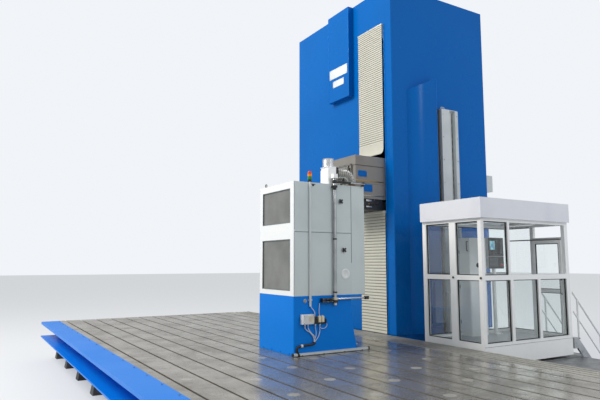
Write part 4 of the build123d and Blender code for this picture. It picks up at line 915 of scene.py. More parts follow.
class MILL_OT_headstock_trim(bpy.types.Operator):
    """Adds the plates, wipers, nozzles, lamps and hoses of the headstock"""

    bl_idname = "mill.headstock_trim"
    bl_label = "Headstock trim"

    def execute(self, context):
        body = "headstock"
        side, face = 0.370, BOX["headstock_housing"][0].y
        plates = [
            panel((side - 0.002, -2.385, 4.545), (side + 0.007, -2.135, 4.685), RIGHT, 0.010, -0.0015, 0.001),
            panel((side - 0.002, -2.230, 4.210), (side + 0.007, -1.980, 4.375), RIGHT, 0.010, -0.0015, 0.001),
        ]
        finished("headstock_blue_plates", plates, body, "column shaded enamel")
        spots = [(side + 0.006, y, z) for y in (-2.372, -2.148) for z in (4.558, 4.672)]
        spots += [(side + 0.006, y, z) for y in (-2.217, -1.993) for z in (4.223, 4.362)]
        screwed("headstock_plate_screws", spots, RIGHT, 0.006, 0.003, body)

        # strips that run along both flanks: a bronze gib edge, a steel rail edge, and a dark sealed joint
        for name, low, high, proud, finish in (
            ("headstock_gib_strips", 4.440, 4.462, 0.006, "bronze"),
            ("headstock_steel_strips", 4.110, 4.128, 0.006, "ground steel"),
            ("headstock_lid_joint", 4.796, 4.803, 0.003, "rubber"),
            ("headstock_flank_joint", 4.388, 4.392, 0.002, "rubber"),
        ):
            flank = [
                block((side - 0.004, -2.455, low), (side + proud, -1.64, high), 0.0015),
                block((-0.500 - proud, -2.455, low), (-0.496, -1.64, high), 0.0015),
            ]
            finished(name, flank, body, finish)

        # the wiper round the ram, under a steel frame with twelve screws
        wiper = ring((-0.348, face - 0.004, 4.237), (0.218, face + 0.004, 4.803), BACK, 0.024)
        finished("ram_wiper", wiper, body, "rubber")
        clamp = ring((-0.385, face - 0.012, 4.200), (0.255, face + 0.002, 4.840), BACK, 0.036)
        finished("ram_wiper_frame", clamp, body, "ground steel")
        spots = [(x, face - 0.012, z) for x in (-0.366, -0.165, 0.035, 0.236) for z in (4.219, 4.821)]
        spots += [(x, face - 0.012, z) for x in (-0.366, 0.236) for z in (4.42, 4.62)]
        screwed("ram_wiper_screws", spots, FRONT, 0.009, 0.006, body, "black paint")

        # two jointed coolant nozzles on the front
        nozzles = []
        for x in (-0.30, 0.17):
            nozzles += [
                lathe((x, face - 0.010, 4.145), FRONT, [(0, 0.024), (0.02, 0.024), (0.03, 0.015)], 16),
                lathe(
                    (x, face - 0.035, 4.145), (0, -0.8, 0.6),
                    [(0, 0.016), (0.03, 0.018), (0.034, 0.013), (0.06, 0.015), (0.064, 0.011), (0.10, 0.006)], 12,
                ),
            ]
        finished("coolant_nozzles", nozzles, body, "bronze")
        # the lid: a row of screws along each edge
        spots = [(x, -2.40 + 0.26 * k, 5.030) for x in (-0.44, 0.31) for k in range(4)]
        screwed("headstock_lid_screws", spots, UP, 0.012, 0.008, body, "black paint")

        # two lamp bars on the tray's side, and hoses between their fittings
        lights = [
            block((0.338, -2.15, 3.985), (0.363, -1.99, 4.030), 0.006),
            block((0.338, -2.15, 3.850), (0.363, -1.99, 3.885), 0.006),
        ]
        finished("tray_lamps", lights, body, "cover steel")
        hoses = [
            lead(
                [
                    (0.345, -1.80, 3.97), (0.378, -1.80, 3.97), (0.380, -1.92, 3.93), (0.378, -2.02, 3.925),
                    (0.345, -2.06, 3.93),
                ],
                0.009,
            ),
            lead(
                [
                    (0.345, -2.28, 4.00), (0.375, -2.28, 4.00), (0.380, -2.27, 3.92), (0.372, -2.24, 3.87),
                    (0.345, -2.22, 3.87),
                ],
                0.008,
            ),
        ]
        finished("tray_hoses", hoses, body, "black hose")
        ends = [
            turned((0.338, y, z), (0.352, y, z), 0.014, 12, 0.002)
            for y, z in ((-1.80, 3.97), (-2.06, 3.93), (-2.28, 4.00), (-2.22, 3.87))
        ]
        finished("tray_hose_fittings", ends, body, "bronze")
        spots = [(0.340, y, 4.035) for y in (-2.30, -1.90, -1.70)]
        screwed("tray_screws", spots, RIGHT, 0.010, 0.006, body)
        return {"FINISHED"}


class MILL_OT_spindle_trim(bpy.types.Operator):
    """Adds the retaining ring, the keys and the screws at the spindle's nose"""

    bl_idname = "mill.spindle_trim"
    bl_label = "Spindle nose"

    def execute(self, context):
        x, z = -0.065, 4.52
        face = BOX["ram"][0].y
        collar = lathe(
            (x, face + 0.001, z), FRONT, [(0, 0.232), (0.014, 0.232), (0.018, 0.228), (0.018, 0.172), (0.0, 0.170)], 40,
        )
        finished("ram_retaining_ring", collar, "ram", "ground steel")
        spots = [
            (x + 0.202 * math.cos(a), face - 0.017, z + 0.202 * math.sin(a))
            for a in (math.pi / 8 + math.pi / 4 * k for k in range(8))
        ]
        screwed("ram_retaining_screws", spots, FRONT, 0.011, 0.007, "ram", "black paint")
        lines = [
            block((side - 0.002, face + 0.02, z + h - 0.004), (side + 0.002, face + 0.068, z + h + 0.004), 0.001)
            for side in (-0.325, 0.195) for h in (-0.14, 0.14)
        ]
        finished("ram_oil_grooves", lines, "ram", "bronze")

        front = BOX["milling_spindle"][0].y
        spots = [(x + 0.12 * math.cos(a), front, z + 0.12 * math.sin(a)) for a in (math.pi / 4 * k for k in range(8))]
        screwed("milling_spindle_screws", spots, FRONT, 0.009, 0.006, "milling_spindle", "black paint")
        rim = lathe((x, front + 0.03, z), FRONT, [(0, 0.1465), (0.01, 0.149), (0.016, 0.149), (0.022, 0.1465)], 40)
        finished("milling_spindle_groove_rim", rim, "milling_spindle", "ground steel")

        nose = BOX["boring_spindle"][0].y
        keys = [
            block(
                (x + s * 0.028 - 0.012, nose - 0.004, z - 0.009), (x + s * 0.028 + 0.012, nose + 0.01, z + 0.009),
                0.002,
            )
            for s in (-1.35, 1.35)
        ]
        finished("boring_spindle_keys", keys, "boring_spindle", "ground steel")
        return {"FINISHED"}


class MILL_OT_chain(bpy.types.Operator):
    """Links the cable chain beside the column and trims the cabin's guide rail"""

    bl_idname = "mill.chain"
    bl_label = "Cable chain and guide rail"

    def execute(self, context):
        pitch = context.scene.mill_looks.link_pitch
        body = "column_carriage"
        # a black block behind the links: painted shade that keeps the channel between the fairing and the rail dark
        finished("chain_channel_painted_shade", block((0.668, -0.3693, 1.002), (0.767, -0.2170, 6.322)), body, "rubber")
        link = block((0.671, -0.3695, 1.006), (0.776, -0.2165, 1.006 + pitch * 0.93))
        edit_edges(link, lambda a, b: a.x > 0.77 and b.x > 0.77)
        bpy.ops.mesh.bevel(offset=0.005, segments=1, affect="EDGES")
        leave()
        edit_faces(link, lambda centre, normal: normal.x > 0.98)
        bpy.ops.mesh.inset(thickness=0.012, depth=0)
        bpy.ops.mesh.inset(thickness=0.003, depth=-0.004)
        leave()
        links = row(link, int(5.31 / pitch), (0, 0, pitch))
        finished("cable_chain", links, body, "black nylon", 25)

        # the perforated strip in the rail's groove, in which the cabin's nut unit engages
        strip = panel((0.738, 0.235, 1.05), (0.7425, 0.275, 6.28), RIGHT, 0.004, 0.001)
        finished("rail_strip", strip, body, "ground steel")
        slot = block((0.742, 0.248, 1.16), (0.7445, 0.262, 1.27), 0.001, 1)
        finished("rail_slots", row(slot, 28, (0, 0, 0.18)), body, "black paint")
        loop = pipe([(0.75, -0.12, 6.315), (0.75, -0.12, 6.39), (0.75, 0.0, 6.39), (0.75, 0.0, 6.315)], 0.009, 0.035, 8)
        cap = block((0.672, -0.173, 6.318), (0.828, 0.378, 6.330), 0.004)
        finished("rail_top", [loop, cap], body, "rail coat")
        bolts = [(0.829, y, 1.15 + 0.56 * k) for y in (-0.13, 0.34) for k in range(10)]
        screwed("rail_bolts", bolts, RIGHT, 0.012, 0.008, body)
        return {"FINISHED"}


def pane_gasket(across, middle, side_low, side_high, low, high):
    """A rubber glazing bead round one pane; across is the axis that the pane faces, 0 for X and 1 for Y."""
    if across == 0:
        return ring((middle - 0.013, side_low, low), (middle + 0.013, side_high, high), RIGHT, 0.015)
    return ring((side_low, middle - 0.013, low), (side_high, middle + 0.013, high), BACK, 0.015)


class MILL_OT_cabin_trim(bpy.types.Operator):
    """Adds the glazing beads, latches, lamps, floor mat, fascia lips and bolts of the operator's cabin"""

    bl_idname = "mill.cabin_trim"
    bl_label = "Cabin trim"

    def execute(self, context):
        body = "cabin"
        beads = [pane_gasket(1, 1.090, 1.605, 2.220, 1.100, 3.395)]
        for low, high in ((2.365, 3.395), (1.100, 2.270)):
            beads += [pane_gasket(1, -1.530, 2.440, 2.995, low, high), pane_gasket(1, -1.530, 1.625, 2.275, low, high)]
            beads.append(pane_gasket(0, 1.565, -1.490, 1.050, low, high))
        beads.append(pane_gasket(0, 3.040, -1.490, -0.810, 2.365, 3.395))
        for near, far in ((0.150, 1.020), (-0.690, 0.070), (-1.490, -0.770)):
            beads.append(pane_gasket(0, 3.040, near, far, 1.100, 2.270))
        finished("cabin_glazing_beads", beads, body, "rubber")

        knobs = []
        for x in (2.362, 3.048):
            knobs.append(
                lathe(
                    (x, -1.568, 2.315), FRONT,
                    [(0, 0.016), (0.006, 0.016), (0.009, 0.022), (0.020, 0.022), (0.024, 0.018)], 12,
                )
            )
        finished("cabin_latches", knobs, body, "black nylon")

        # a capping rail along the open side's sill, and the folded lips at the fascia's two rims
        sill = block((3.006, -0.735, 2.366), (3.084, 1.016, 2.374), 0.003)
        finished("cabin_sill_cap", sill, body, "cabin coat")
        roof = BOX["cabin_roof"]
        lip = [
            block((roof[0].x + 0.01, roof[0].y - 0.001, 3.452), (roof[1].x + 0.001, roof[0].y + 0.030, 3.462), 0.003),
            block((roof[1].x - 0.030, roof[0].y, 3.452), (roof[1].x + 0.001, 1.12, 3.462), 0.003),
            block((roof[0].x, roof[0].y - 0.001, 3.832), (roof[1].x + 0.001, roof[0].y + 0.022, 3.843), 0.003),
            block((roof[1].x - 0.022, roof[0].y, 3.832), (roof[1].x + 0.001, 1.13, 3.843), 0.003),
            block((roof[0].x - 0.001, roof[0].y, 3.832), (roof[0].x + 0.022, 1.13, 3.843), 0.003),
            block((roof[0].x, 1.108, 3.832), (roof[1].x, 1.131, 3.843), 0.003),
        ]
        finished("cabin_fascia_lips", lip, body, "fascia coat")

        mat = block((1.62, -1.50, 1.0405), (2.98, 1.00, 1.0465), 0.002, 1)
        edit_faces(mat, lambda centre, normal: normal.z > 0.9)
        bpy.ops.mesh.inset(thickness=0.03, depth=0)
        bpy.ops.mesh.inset(thickness=0.004, depth=-0.0015)
        leave()
        finished("cabin_floor_mat", mat, body, "mat vinyl")
        cases, tubes = [], []
        for y in (-0.95, 0.45):
            case = block((1.95, y - 0.07, 3.405), (2.75, y + 0.07, 3.454), 0.006)
            edit_faces(case, lambda centre, normal: normal.z < -0.9)
            bpy.ops.mesh.inset(thickness=0.014, depth=0)
            bpy.ops.mesh.inset(thickness=0.006, depth=-0.012)
            leave()
            cases.append(case)
            tubes.append(block((1.975, y - 0.045, 3.407), (2.725, y + 0.045, 3.419), 0.005))
        finished("cabin_lamp_cases", cases, body, "cabin coat")
        finished("cabin_lamp_covers", tubes, body, "opal")

        # the tall cabinet: a door seam, a C handle, hinges and a low vent
        low, high = (1.604, -0.57, 1.06), (1.906, -0.57, 3.12)
        door = panel(
            (low[0] + 0.012, -0.578, low[2] + 0.02), (high[0] - 0.012, -0.569, high[2] - 0.02), FRONT, 0.014, -0.002,
            0.002,
        )
        vent = louvres((1.66, -0.584, 1.15), (1.85, -0.577, 1.35), FRONT, 0.006, 8)
        finished("cabinet_door", [door, vent], body, "cabin coat")
        grip = bow(1.865, -0.576, -0.622, 2.86, 3.06, 0.009)
        hinges = [turned((1.618, -0.584, z), (1.618, -0.584, z + 0.07), 0.008, 10, 0.002) for z in (1.3, 2.05, 2.8)]
        finished("cabinet_handle", [grip] + hinges, body, "black nylon")
        side = panel((1.904, -0.55, 1.10), (1.910, -0.09, 2.95), RIGHT, 0.02, -0.0015, 0.001)
        finished("cabinet_side_panel", side, body, "cabin coat")
        gauges = lathe((1.909, -0.33, 2.55), RIGHT, [(0, 0.05), (0.012, 0.05), (0.016, 0.044), (0.013, 0.042)], 20)
        finished("cabinet_gauge", gauges, body, "black nylon")

        # a held lead from the cabinet to the panel's post, and the post's collar
        collar = lathe((1.820, 0.272, 2.400), UP, [(0, 0.036), (0.02, 0.040), (0.05, 0.040), (0.06, 0.034)], 20)
        finished("panel_post_collar", collar, body, "black nylon")
        flex = lead(
            [
                (1.80, -0.075, 2.20), (1.80, -0.03, 2.20), (1.81, 0.06, 2.10), (1.82, 0.13, 2.16), (1.82, 0.20, 2.28),
                (1.82, 0.238, 2.28),
            ],
            0.009,
        )
        finished("panel_flex", flex, body, "black hose")
        plugs = [
            turned((1.80, -0.075, 2.20), (1.80, -0.045, 2.20), 0.015, 12, 0.003),
            turned((1.82, 0.222, 2.28), (1.82, 0.25, 2.28), 0.015, 12, 0.003),
        ]
        finished("panel_flex_glands", plugs, body, "black nylon")

        deck = BOX["cabin_platform"]
        bolts = [(x, deck[0].y, 0.98) for x in (1.62, 1.98, 2.34, 2.70, 3.02)]
        screwed("platform_front_bolts", bolts, FRONT, 0.010, 0.006, body, "cabin coat")
        bolts = [(deck[1].x, y, 0.98) for y in (-1.48, -0.85, -0.2, 0.45, 1.05)]
        screwed("platform_side_bolts", bolts, RIGHT, 0.010, 0.006, body, "cabin coat")
        kick = block((3.0795, -1.566, 1.036), (3.0835, 1.125, 1.044), 0.001, 1)
        finished("platform_edge_strip", kick, body, "galvanised")
        return {"FINISHED"}


class MILL_OT_cabin_door(bpy.types.Operator):
    """Builds the cabin's sliding door from profiles, panes, beads and a grip"""

    bl_idname = "mill.cabin_door"
    bl_label = "Cabin door"

    def execute(self, context):
        body = "cabin_door"
        low, high = BOX["cabin_door"]
        stile, middle = 0.070, low.z + 0.45 * (high.z - low.z)
        bars = [
            block(low, (low.x + stile, high.y, high.z), 0.004), block((high.x - stile, low.y, low.z), high, 0.004),
        ]
        # the three cross rails sit 1 mm back from the stiles and run 2 mm into them
        for foot, head in ((low.z, low.z + stile), (high.z - stile, high.z), (middle, middle + stile)):
            rail_low = (low.x + stile - 0.002, low.y + 0.001, foot)
            bars.append(block(rail_low, (high.x - stile + 0.002, high.y - 0.001, head), 0.004))
        frame_piece = finished("cabin_door_profiles", bars, body, "cabin coat")
        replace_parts(frame_piece, "cabin_door")
        centre = (low.y + high.y) / 2
        panes, beads = [], []
        for foot, head in ((low.z + stile, middle), (middle + stile, high.z - stile)):
            panes.append(block((low.x + stile, centre - 0.004, foot), (high.x - stile, centre + 0.004, head), 0.001, 1))
            beads.append(pane_gasket(1, centre, low.x + stile, high.x - stile, foot, head))
        finished("cabin_door_panes", panes, body, "glass")
        finished("cabin_door_beads", beads, body, "rubber")
        grip = bow(high.x - 0.035, low.y + 0.002, low.y - 0.045, 1.95, 2.25, 0.010)
        plates = [
            block((high.x - 0.050, low.y - 0.003, z - 0.02), (high.x - 0.020, low.y + 0.002, z + 0.02), 0.002)
            for z in (1.95, 2.25)
        ]
        finished("cabin_door_grip", [grip] + plates, body, "black nylon")
        track = block((1.62, low.y - 0.002, high.z + 0.004), (2.98, high.y - 0.004, high.z + 0.030), 0.004)
        finished("cabin_door_track", track, "cabin", "ground steel")
        return {"FINISHED"}


class MILL_OT_control_panel(bpy.types.Operator):
    """Fits the control panel with its screen, flat keypads and the stop button's seat"""

    bl_idname = "mill.control_panel"
    bl_label = "Control panel"

    def execute(self, context):
        body = "control_panel"
        face = BOX["cnc_panel"][1].x
        front = panel((face - 0.004, 0.024, 2.744), (face + 0.006, 0.520, 3.154), RIGHT, 0.030, -0.004, 0.003)
        finished("panel_screen_bezel", front, body, "slate abs")
        screen = block((face + 0.0005, 0.060, 2.782), (face + 0.0045, 0.484, 3.116), 0.001)
        finished("panel_screen", screen, body, "dark display")
        view = block((face + 0.0040, 0.075, 2.890), (face + 0.0052, 0.235, 3.085), 0.0005, 1)
        finished("panel_screen_picture", view, body, "display")
        desk = panel((face - 0.004, 0.024, 2.476), (face + 0.006, 0.520, 2.734), RIGHT, 0.012, -0.002, 0.003)
        finished("panel_key_desk", desk, body, "slate abs")
        # flat sealed key fields under one membrane: raised pads that are part of the foil
        pad = block((face + 0.003, 0.048, 2.694), (face + 0.0055, 0.068, 2.710), 0.001, 1)
        one_row = row(pad, 11, (0, 0.0262, 0))
        field = row(one_row, 7, (0, 0, -0.0285))
        finished("panel_key_field", field, body, "key foil")
        function_row = row(
            block((face + 0.0045, 0.070, 2.764), (face + 0.0070, 0.096, 2.774), 0.001, 1), 12, (0, 0.0345, 0),
        )
        finished("panel_function_row", function_row, body, "key foil")
        low, high = BOX["emergency_stop"]
        seat_y, seat_z = (low.y + high.y) / 2, (low.z + high.z) / 2
        seat = lathe(
            (face, seat_y, seat_z), RIGHT, [(0, 0.031), (0.004, 0.031), (0.006, 0.029), (0.006, 0.0215), (0.0, 0.021)],
            24,
        )
        finished("stop_button_seat", seat, body, "amber lens")
        cap = lathe(
            (low.x, seat_y, seat_z), RIGHT,
            [
                (0, 0.012), (0.012, 0.012), (0.016, 0.0185), (0.020, 0.0200), (0.030, 0.0200), (0.036, 0.0175),
                (0.0395, 0.010),
            ], 24,
        )
        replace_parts(finished("stop_button_cap", cap, "emergency_stop", "red lens"), "emergency_stop")
        back = BOX["cnc_panel"][0].x
        rear = panel((back - 0.006, 0.060, 2.52), (back + 0.002, 0.484, 3.11), LEFT, 0.03, -0.003, 0.002)
        vents = louvres((back - 0.010, 0.14, 2.86), (back - 0.003, 0.40, 3.02), LEFT, 0.004, 10)
        finished("panel_rear_lid", [rear, vents], body, "grey abs")
        return {"FINISHED"}


class MILL_OT_stairs(bpy.types.Operator):
    """Bends the handrails and fits the treads' nosings and bolts"""

    bl_idname = "mill.stairs"
    bl_label = "Stairs"

    def execute(self, context):
        body = "column_carriage"
        rails = []
        for x in (2.32, 3.08):
            rails.append(pipe([(x, 1.19, 1.984), (x, 2.136, 1.004), (x, 2.136, 0.187)], 0.020, 0.08, 12))
            rails.append(pipe([(x, 1.35, 1.00), (x, 1.35, 1.815)], 0.020, 0, 12))
            rails.append(pipe([(x, 1.19, 1.584), (x, 2.136, 0.604)], 0.015, 0, 12))
            rails.append(block((x - 0.032, 1.31, 0.995), (x + 0.032, 1.39, 1.007), 0.003))
            rails.append(block((x - 0.032, 2.10, 0.183), (x + 0.032, 2.17, 0.195), 0.003))
        handrail = finished("stair_handrail_tubes", rails, body, "cabin coat")
        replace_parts(handrail, "stair_handrails")
        ends = [
            lathe((x, y, z), UP, [(0, 0.0215), (0.004, 0.026), (0.016, 0.026), (0.02, 0.0215)], 16)
            for x in (2.32, 3.08)
            for y, z in ((1.35, 1.006), (2.136, 0.194))
        ]
        finished("stair_handrail_collars", ends, body, "black nylon")
        rise, slope = 0.196, math.tan(math.radians(46))
        nosings = []
        for k in range(1, 5):
            z = 1.040 - rise * k
            nose = 1.290 + rise * k / slope
            nosings.append(block((2.345, nose - 0.035, z - 0.006), (3.055, nose + 0.002, z + 0.003), 0.002, 1))
        finished("stair_nosings", nosings, body, "black paint")
        side = BOX["stairs"][1].x
        bolts = [(side, 1.22 + 0.19 * k, 0.93 - 0.19 * k * round(slope, 4)) for k in range(5)]
        screwed("stair_bolts", bolts, RIGHT, 0.010, 0.006, body)
        return {"FINISHED"}


class MILL_OT_station_cabinet(bpy.types.Operator):
    """Adds the window beads, seams, knobs, plugs and eyes of the pick-up station's cabinet"""

    bl_idname = "mill.station_cabinet"
    bl_label = "Station cabinet"

    def execute(self, context):
        body, side, front = "machine_base", STATION_SIDE, STATION_FRONT
        beads = []
        for low, high in ((2.11, 3.02), (3.31, 3.93)):
            beads.append(ring((0.680, front - 0.004, low), (1.730, front + 0.010, high), BACK, 0.012))
        finished("station_window_beads", beads, body, "seam strip")

        # where the side sheets meet: a fold with a sealed joint under it, and a joint down by the door
        fold = block((side - 0.002, -4.945, 3.152), (side + 0.006, -3.705, 3.185), 0.003)
        finished("station_side_fold", fold, body, "station coat")
        joints = [
            block((side - 0.002, -4.930, 3.143), (side + 0.003, -3.705, 3.152), 0.001),
            block((side - 0.002, -3.7045, 2.60), (side + 0.004, -3.6955, 4.04), 0.001),
            block((side - 0.002, -4.948, 2.024), (side + 0.003, -4.941, 4.046), 0.001),
        ]
        finished("station_side_joints", joints, body, "seam strip")

        # two star knobs that lock the side sheet
        stars = []
        for y, z in ((-3.950, 3.735), (-3.883, 2.836)):
            hub = lathe(
                (side, y, z), RIGHT, [(0, 0.020), (0.020, 0.020), (0.024, 0.028), (0.040, 0.028), (0.045, 0.020)], 16,
            )
            lobe = turned((side + 0.024, y, z + 0.035), (side + 0.042, y, z + 0.035), 0.0155, 10, 0.003)
            stars.append(hub)
            for k in range(4):
                angle = math.pi / 4 + math.pi / 2 * k
                stars += copies(lobe, [(0, 0.035 * math.sin(angle), 0.035 * (math.cos(angle) - 1))])[1:]
            pick(lobe)
            bpy.ops.object.delete()
        finished("station_star_knobs", stars, body, "black nylon")
        disc = lathe(
            (side, -3.843, 2.396), RIGHT, [(0, 0.097), (0.006, 0.097), (0.010, 0.090), (0.010, 0.060), (0.007, 0.055)],
            32,
        )
        finished("station_port_cap", disc, body, "bare plate")
        plug = lathe(
            (side, -4.721, 1.935), RIGHT,
            [(0, 0.036), (0.006, 0.036), (0.012, 0.026), (0.020, 0.022), (0.020, 0.014), (0.010, 0.012)], 20,
        )
        finished("station_base_plug", plug, body, "cap alloy")
        fitting = [
            lathe(
                (side, -4.548, 4.0), RIGHT,
                [(0, 0.018), (0.010, 0.018), (0.014, 0.012), (0.030, 0.012), (0.034, 0.008)], 16,
            ),
            block((side, -4.60, 4.014), (side + 0.012, -4.50, 4.022), 0.002),
        ]
        finished("station_sensor", fitting, body, "black nylon")

        eyes = []
        for x, y in ((0.62, -4.85), (0.62, -3.95)):
            collar = [(0, 0.034), (0.008, 0.034), (0.012, 0.022), (0.028, 0.020)]
            eyes.append(lathe((x, y, STATION_TOP), UP, collar, 16))
            eyes.append(bent_eye(x, y, 4.074, 4.135, 0.030, 0.009, 0.028))
        finished("station_lifting_eyes", eyes, body, "black paint")
        spots = [(x, y, STATION_TOP) for x in (0.64, 1.05, 1.45) for y in (-4.90, -4.45)]
        screwed("station_roof_screws", spots, UP, 0.010, 0.006, body)
        spots = [(x, front, z) for x in (0.585, 1.825) for z in (2.08, 2.60, 3.16, 3.62, 4.00)]
        screwed("station_front_screws", spots, FRONT, 0.007, 0.003, body, "bare plate")
        spots = [(0.75 + 0.32 * k, front, 1.03) for k in range(4)]
        screwed("station_foot_bolts", spots, FRONT, 0.012, 0.008, body, "base enamel")

        # vents and a hatch on the left side, which the photograph doesn't show
        left = BOX["station_cabinet"][0].x
        vents = louvres((left - 0.012, -4.75, 3.45), (left, -4.05, 3.85), LEFT, 0.010, 12)
        hatch = panel((left - 0.012, -4.80, 2.15), (left, -4.00, 3.15), LEFT, 0.03, -0.004, 0.003)
        finished("station_left_hatch", [vents, hatch], body, "station door coat")
        locks = [
            lathe((left - 0.012, -4.06, z), LEFT, [(0, 0.020), (0.008, 0.020), (0.011, 0.015)], 16)
            for z in (2.35, 2.95)
        ]
        finished("station_left_locks", locks, body, "black nylon")
        return {"FINISHED"}


class MILL_OT_station_drive(bpy.types.Operator):
    """Adds the door's arms, shaft fittings, the motor's sleeve and the ribbed elbow of the station"""

    bl_idname = "mill.station_drive"
    bl_label = "Station door drive"

    def execute(self, context):
        side, shaft_x, shaft_y = STATION_SIDE, 1.905, -4.105
        door = "station_door"
        # top arm: a dark sleeve over its inner half, hinge plates and screws at its end
        sleeve = turned((shaft_x, -4.00, 4.092), (shaft_x, -3.74, 4.092), 0.022, 16, 0.004)
        clamp = [lathe((shaft_x, shaft_y, 4.060), UP, [(0, 0.036), (0.006, 0.040), (0.058, 0.040), (0.064, 0.036)], 20)]
        clamp.append(block((shaft_x - 0.022, shaft_y + 0.01, 4.070), (shaft_x + 0.022, shaft_y + 0.105, 4.114), 0.006))
        finished("top_arm_sleeve", [sleeve] + clamp, door, "black paint")
        shaft = lathe((shaft_x, shaft_y, 1.876), UP, [(0, 0.026), (0.004, 0.030), (2.270, 0.030), (2.276, 0.026)], 20)
        bars = [
            turned((shaft_x, shaft_y, 4.092), (shaft_x, -3.412, 4.092), 0.016, 12, 0.003),
            turned((1.912, shaft_y, 1.955), (1.912, -4.04, 1.955), 0.016, 12),
        ]
        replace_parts(finished("door_shaft", [shaft] + bars, door, "alloy"), "door_arms")
        tip = [
            block((1.858, -3.462, 4.056), (1.928, -3.410, 4.076), 0.005),
            block((1.858, -3.462, 4.108), (1.928, -3.410, 4.124), 0.005),
            lathe((shaft_x, -3.436, STATION_TOP), UP, [(0, 0.012), (0.080, 0.012), (0.084, 0.008)], 12),
        ]
        finished("top_arm_hinge", tip, door, "black nylon")
        spots = [(shaft_x + dx, shaft_y + 0.055 + dy, 4.114) for dx in (-0.012, 0.012) for dy in (0.0, 0.035)]
        screwed("top_arm_screws", spots, UP, 0.007, 0.005, door)

        # lower arm: hub, a bright rod to the door, and a black end
        hub = [
            lathe((shaft_x, shaft_y, 1.900), UP, [(0, 0.040), (0.006, 0.044), (0.074, 0.044), (0.08, 0.038)], 20),
            lathe((shaft_x, shaft_y, 1.845), UP, [(0, 0.026), (0.014, 0.028), (0.05, 0.028), (0.055, 0.024)], 16),
        ]
        finished("lower_arm_hub", hub, door, "cream nylon")
        rod = turned((1.912, -4.058, 1.955), (1.912, -3.420, 1.955), 0.018, 16, 0.003)
        finished("lower_arm_rod", rod, door, "tin")
        end = block((1.882, -3.440, 1.925), (1.944, -3.360, 1.985), 0.010)
        finished("lower_arm_end", end, door, "black nylon")
        brake = [
            block((side, -4.405, 1.944), (1.944, -4.168, 1.972), 0.005),
            block((side, -4.405, 1.896), (1.944, -4.168, 1.924), 0.005),
            block((side, -4.395, 1.916), (1.930, -4.330, 1.952), 0.004),
            block((side, -4.235, 1.916), (1.930, -4.175, 1.952), 0.004),
        ]
        finished("lower_arm_brake", brake, "machine_base", "black paint")
        spots = [(1.944, y, z) for y in (-4.385, -4.29, -4.19) for z in (1.910, 1.958)]
        screwed("lower_arm_brake_screws", spots, RIGHT, 0.007, 0.004, "machine_base")

        # rings along the shaft, which turns with the door
        rings = [
            lathe((shaft_x, shaft_y, z), UP, [(0, 0.034), (0.004, 0.038), (0.022, 0.038), (0.026, 0.034)], 16)
            for z in (2.06, 3.02, 3.94)
        ]
        finished("shaft_rings", rings, door, "black nylon")
        cap = lathe(
            (shaft_x, shaft_y, 4.152), UP,
            [(0, 0.036), (0.010, 0.036), (0.014, 0.028), (0.030, 0.026), (0.034, 0.018)], 16,
        )
        finished("shaft_cap", cap, door, "tin")

        # the motor: a bright sleeve with pressed ribs over the white box, and a lid with screws
        body = "machine_base"
        steps = [(0, 0.1045)]
        for k in range(6):
            steps += [(0.012 + 0.022 * k, 0.1045), (0.017 + 0.022 * k, 0.1010), (0.022 + 0.022 * k, 0.1045)]
        steps += [(0.150, 0.1045), (0.155, 0.098)]
        finished("drive_motor_sleeve", lathe((1.705, -4.105, 4.392), UP, steps, 32), body, "tin")
        spots = [
            (1.705 + 0.09 * math.cos(a), -4.105 + 0.09 * math.sin(a), 4.546)
            for a in (math.pi / 3 * k for k in range(6))
        ]
        screwed("drive_motor_screws", spots, UP, 0.006, 0.003, body, "black paint")
        lid = block((1.582, -4.204, 4.376), (1.828, -4.006, 4.386), 0.003)
        finished("drive_box_lid", lid, body, "cabin coat")
        flange = lathe((1.70, -4.006, 4.30), BACK, [(0, 0.086), (0.012, 0.086), (0.018, 0.078)], 24)
        finished("duct_flange", flange, body, "seam strip")

        # ribbed elbow: one rib copied along its bend over a smooth inner tube
        # the real ribs are finer: they are drawn 44 mm apart, so that they show
        # its course: straight up for the riser, round the bend's quarter circle, then level towards the motor
        bend, riser = 0.15, 0.095
        arc = round(bend * math.pi / 2, 4)
        x, y, level = 1.70, -3.56, STATION_TOP + riser + bend
        tube = pipe([(x, y, STATION_TOP), (x, y, level), (x, -4.000, level)], 0.054, bend, 24)
        ribs = []
        for k in range(13):
            run = 0.062 + 0.0445 * k
            if run < riser:
                spot, way = (x, y, STATION_TOP + run), UP
            elif run < riser + arc:
                angle = (run - riser) / bend
                spot = (x, y - bend + bend * math.cos(angle), level - bend + bend * math.sin(angle))
                way = (0, -math.sin(angle), math.cos(angle))
            else:
                spot, way = (x, y - bend - (run - riser - arc), level), FRONT
            ribs.append(
                lathe(spot, way, [(-0.018, 0.052), (-0.009, 0.077), (0.0, 0.083), (0.009, 0.077), (0.018, 0.052)], 24)
            )
        elbow = finished("station_ribbed_elbow", [tube] + ribs, body, "duct foil")
        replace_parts(elbow, "station_duct")
        foot = lathe((x, y, 4.048), UP, [(0, 0.090), (0.020, 0.090), (0.026, 0.084), (0.042, 0.084)], 24)
        finished("elbow_collar", foot, body, "brown phenolic")
        straps = [
            block((1.61, -3.99, 4.20), (1.624, -3.93, 4.39), 0.002),
            block((1.776, -3.99, 4.20), (1.79, -3.93, 4.39), 0.002),
            block((1.61, -3.99, 4.376), (1.79, -3.93, 4.388), 0.002),
        ]
        finished("elbow_strap", straps, body, "black paint")

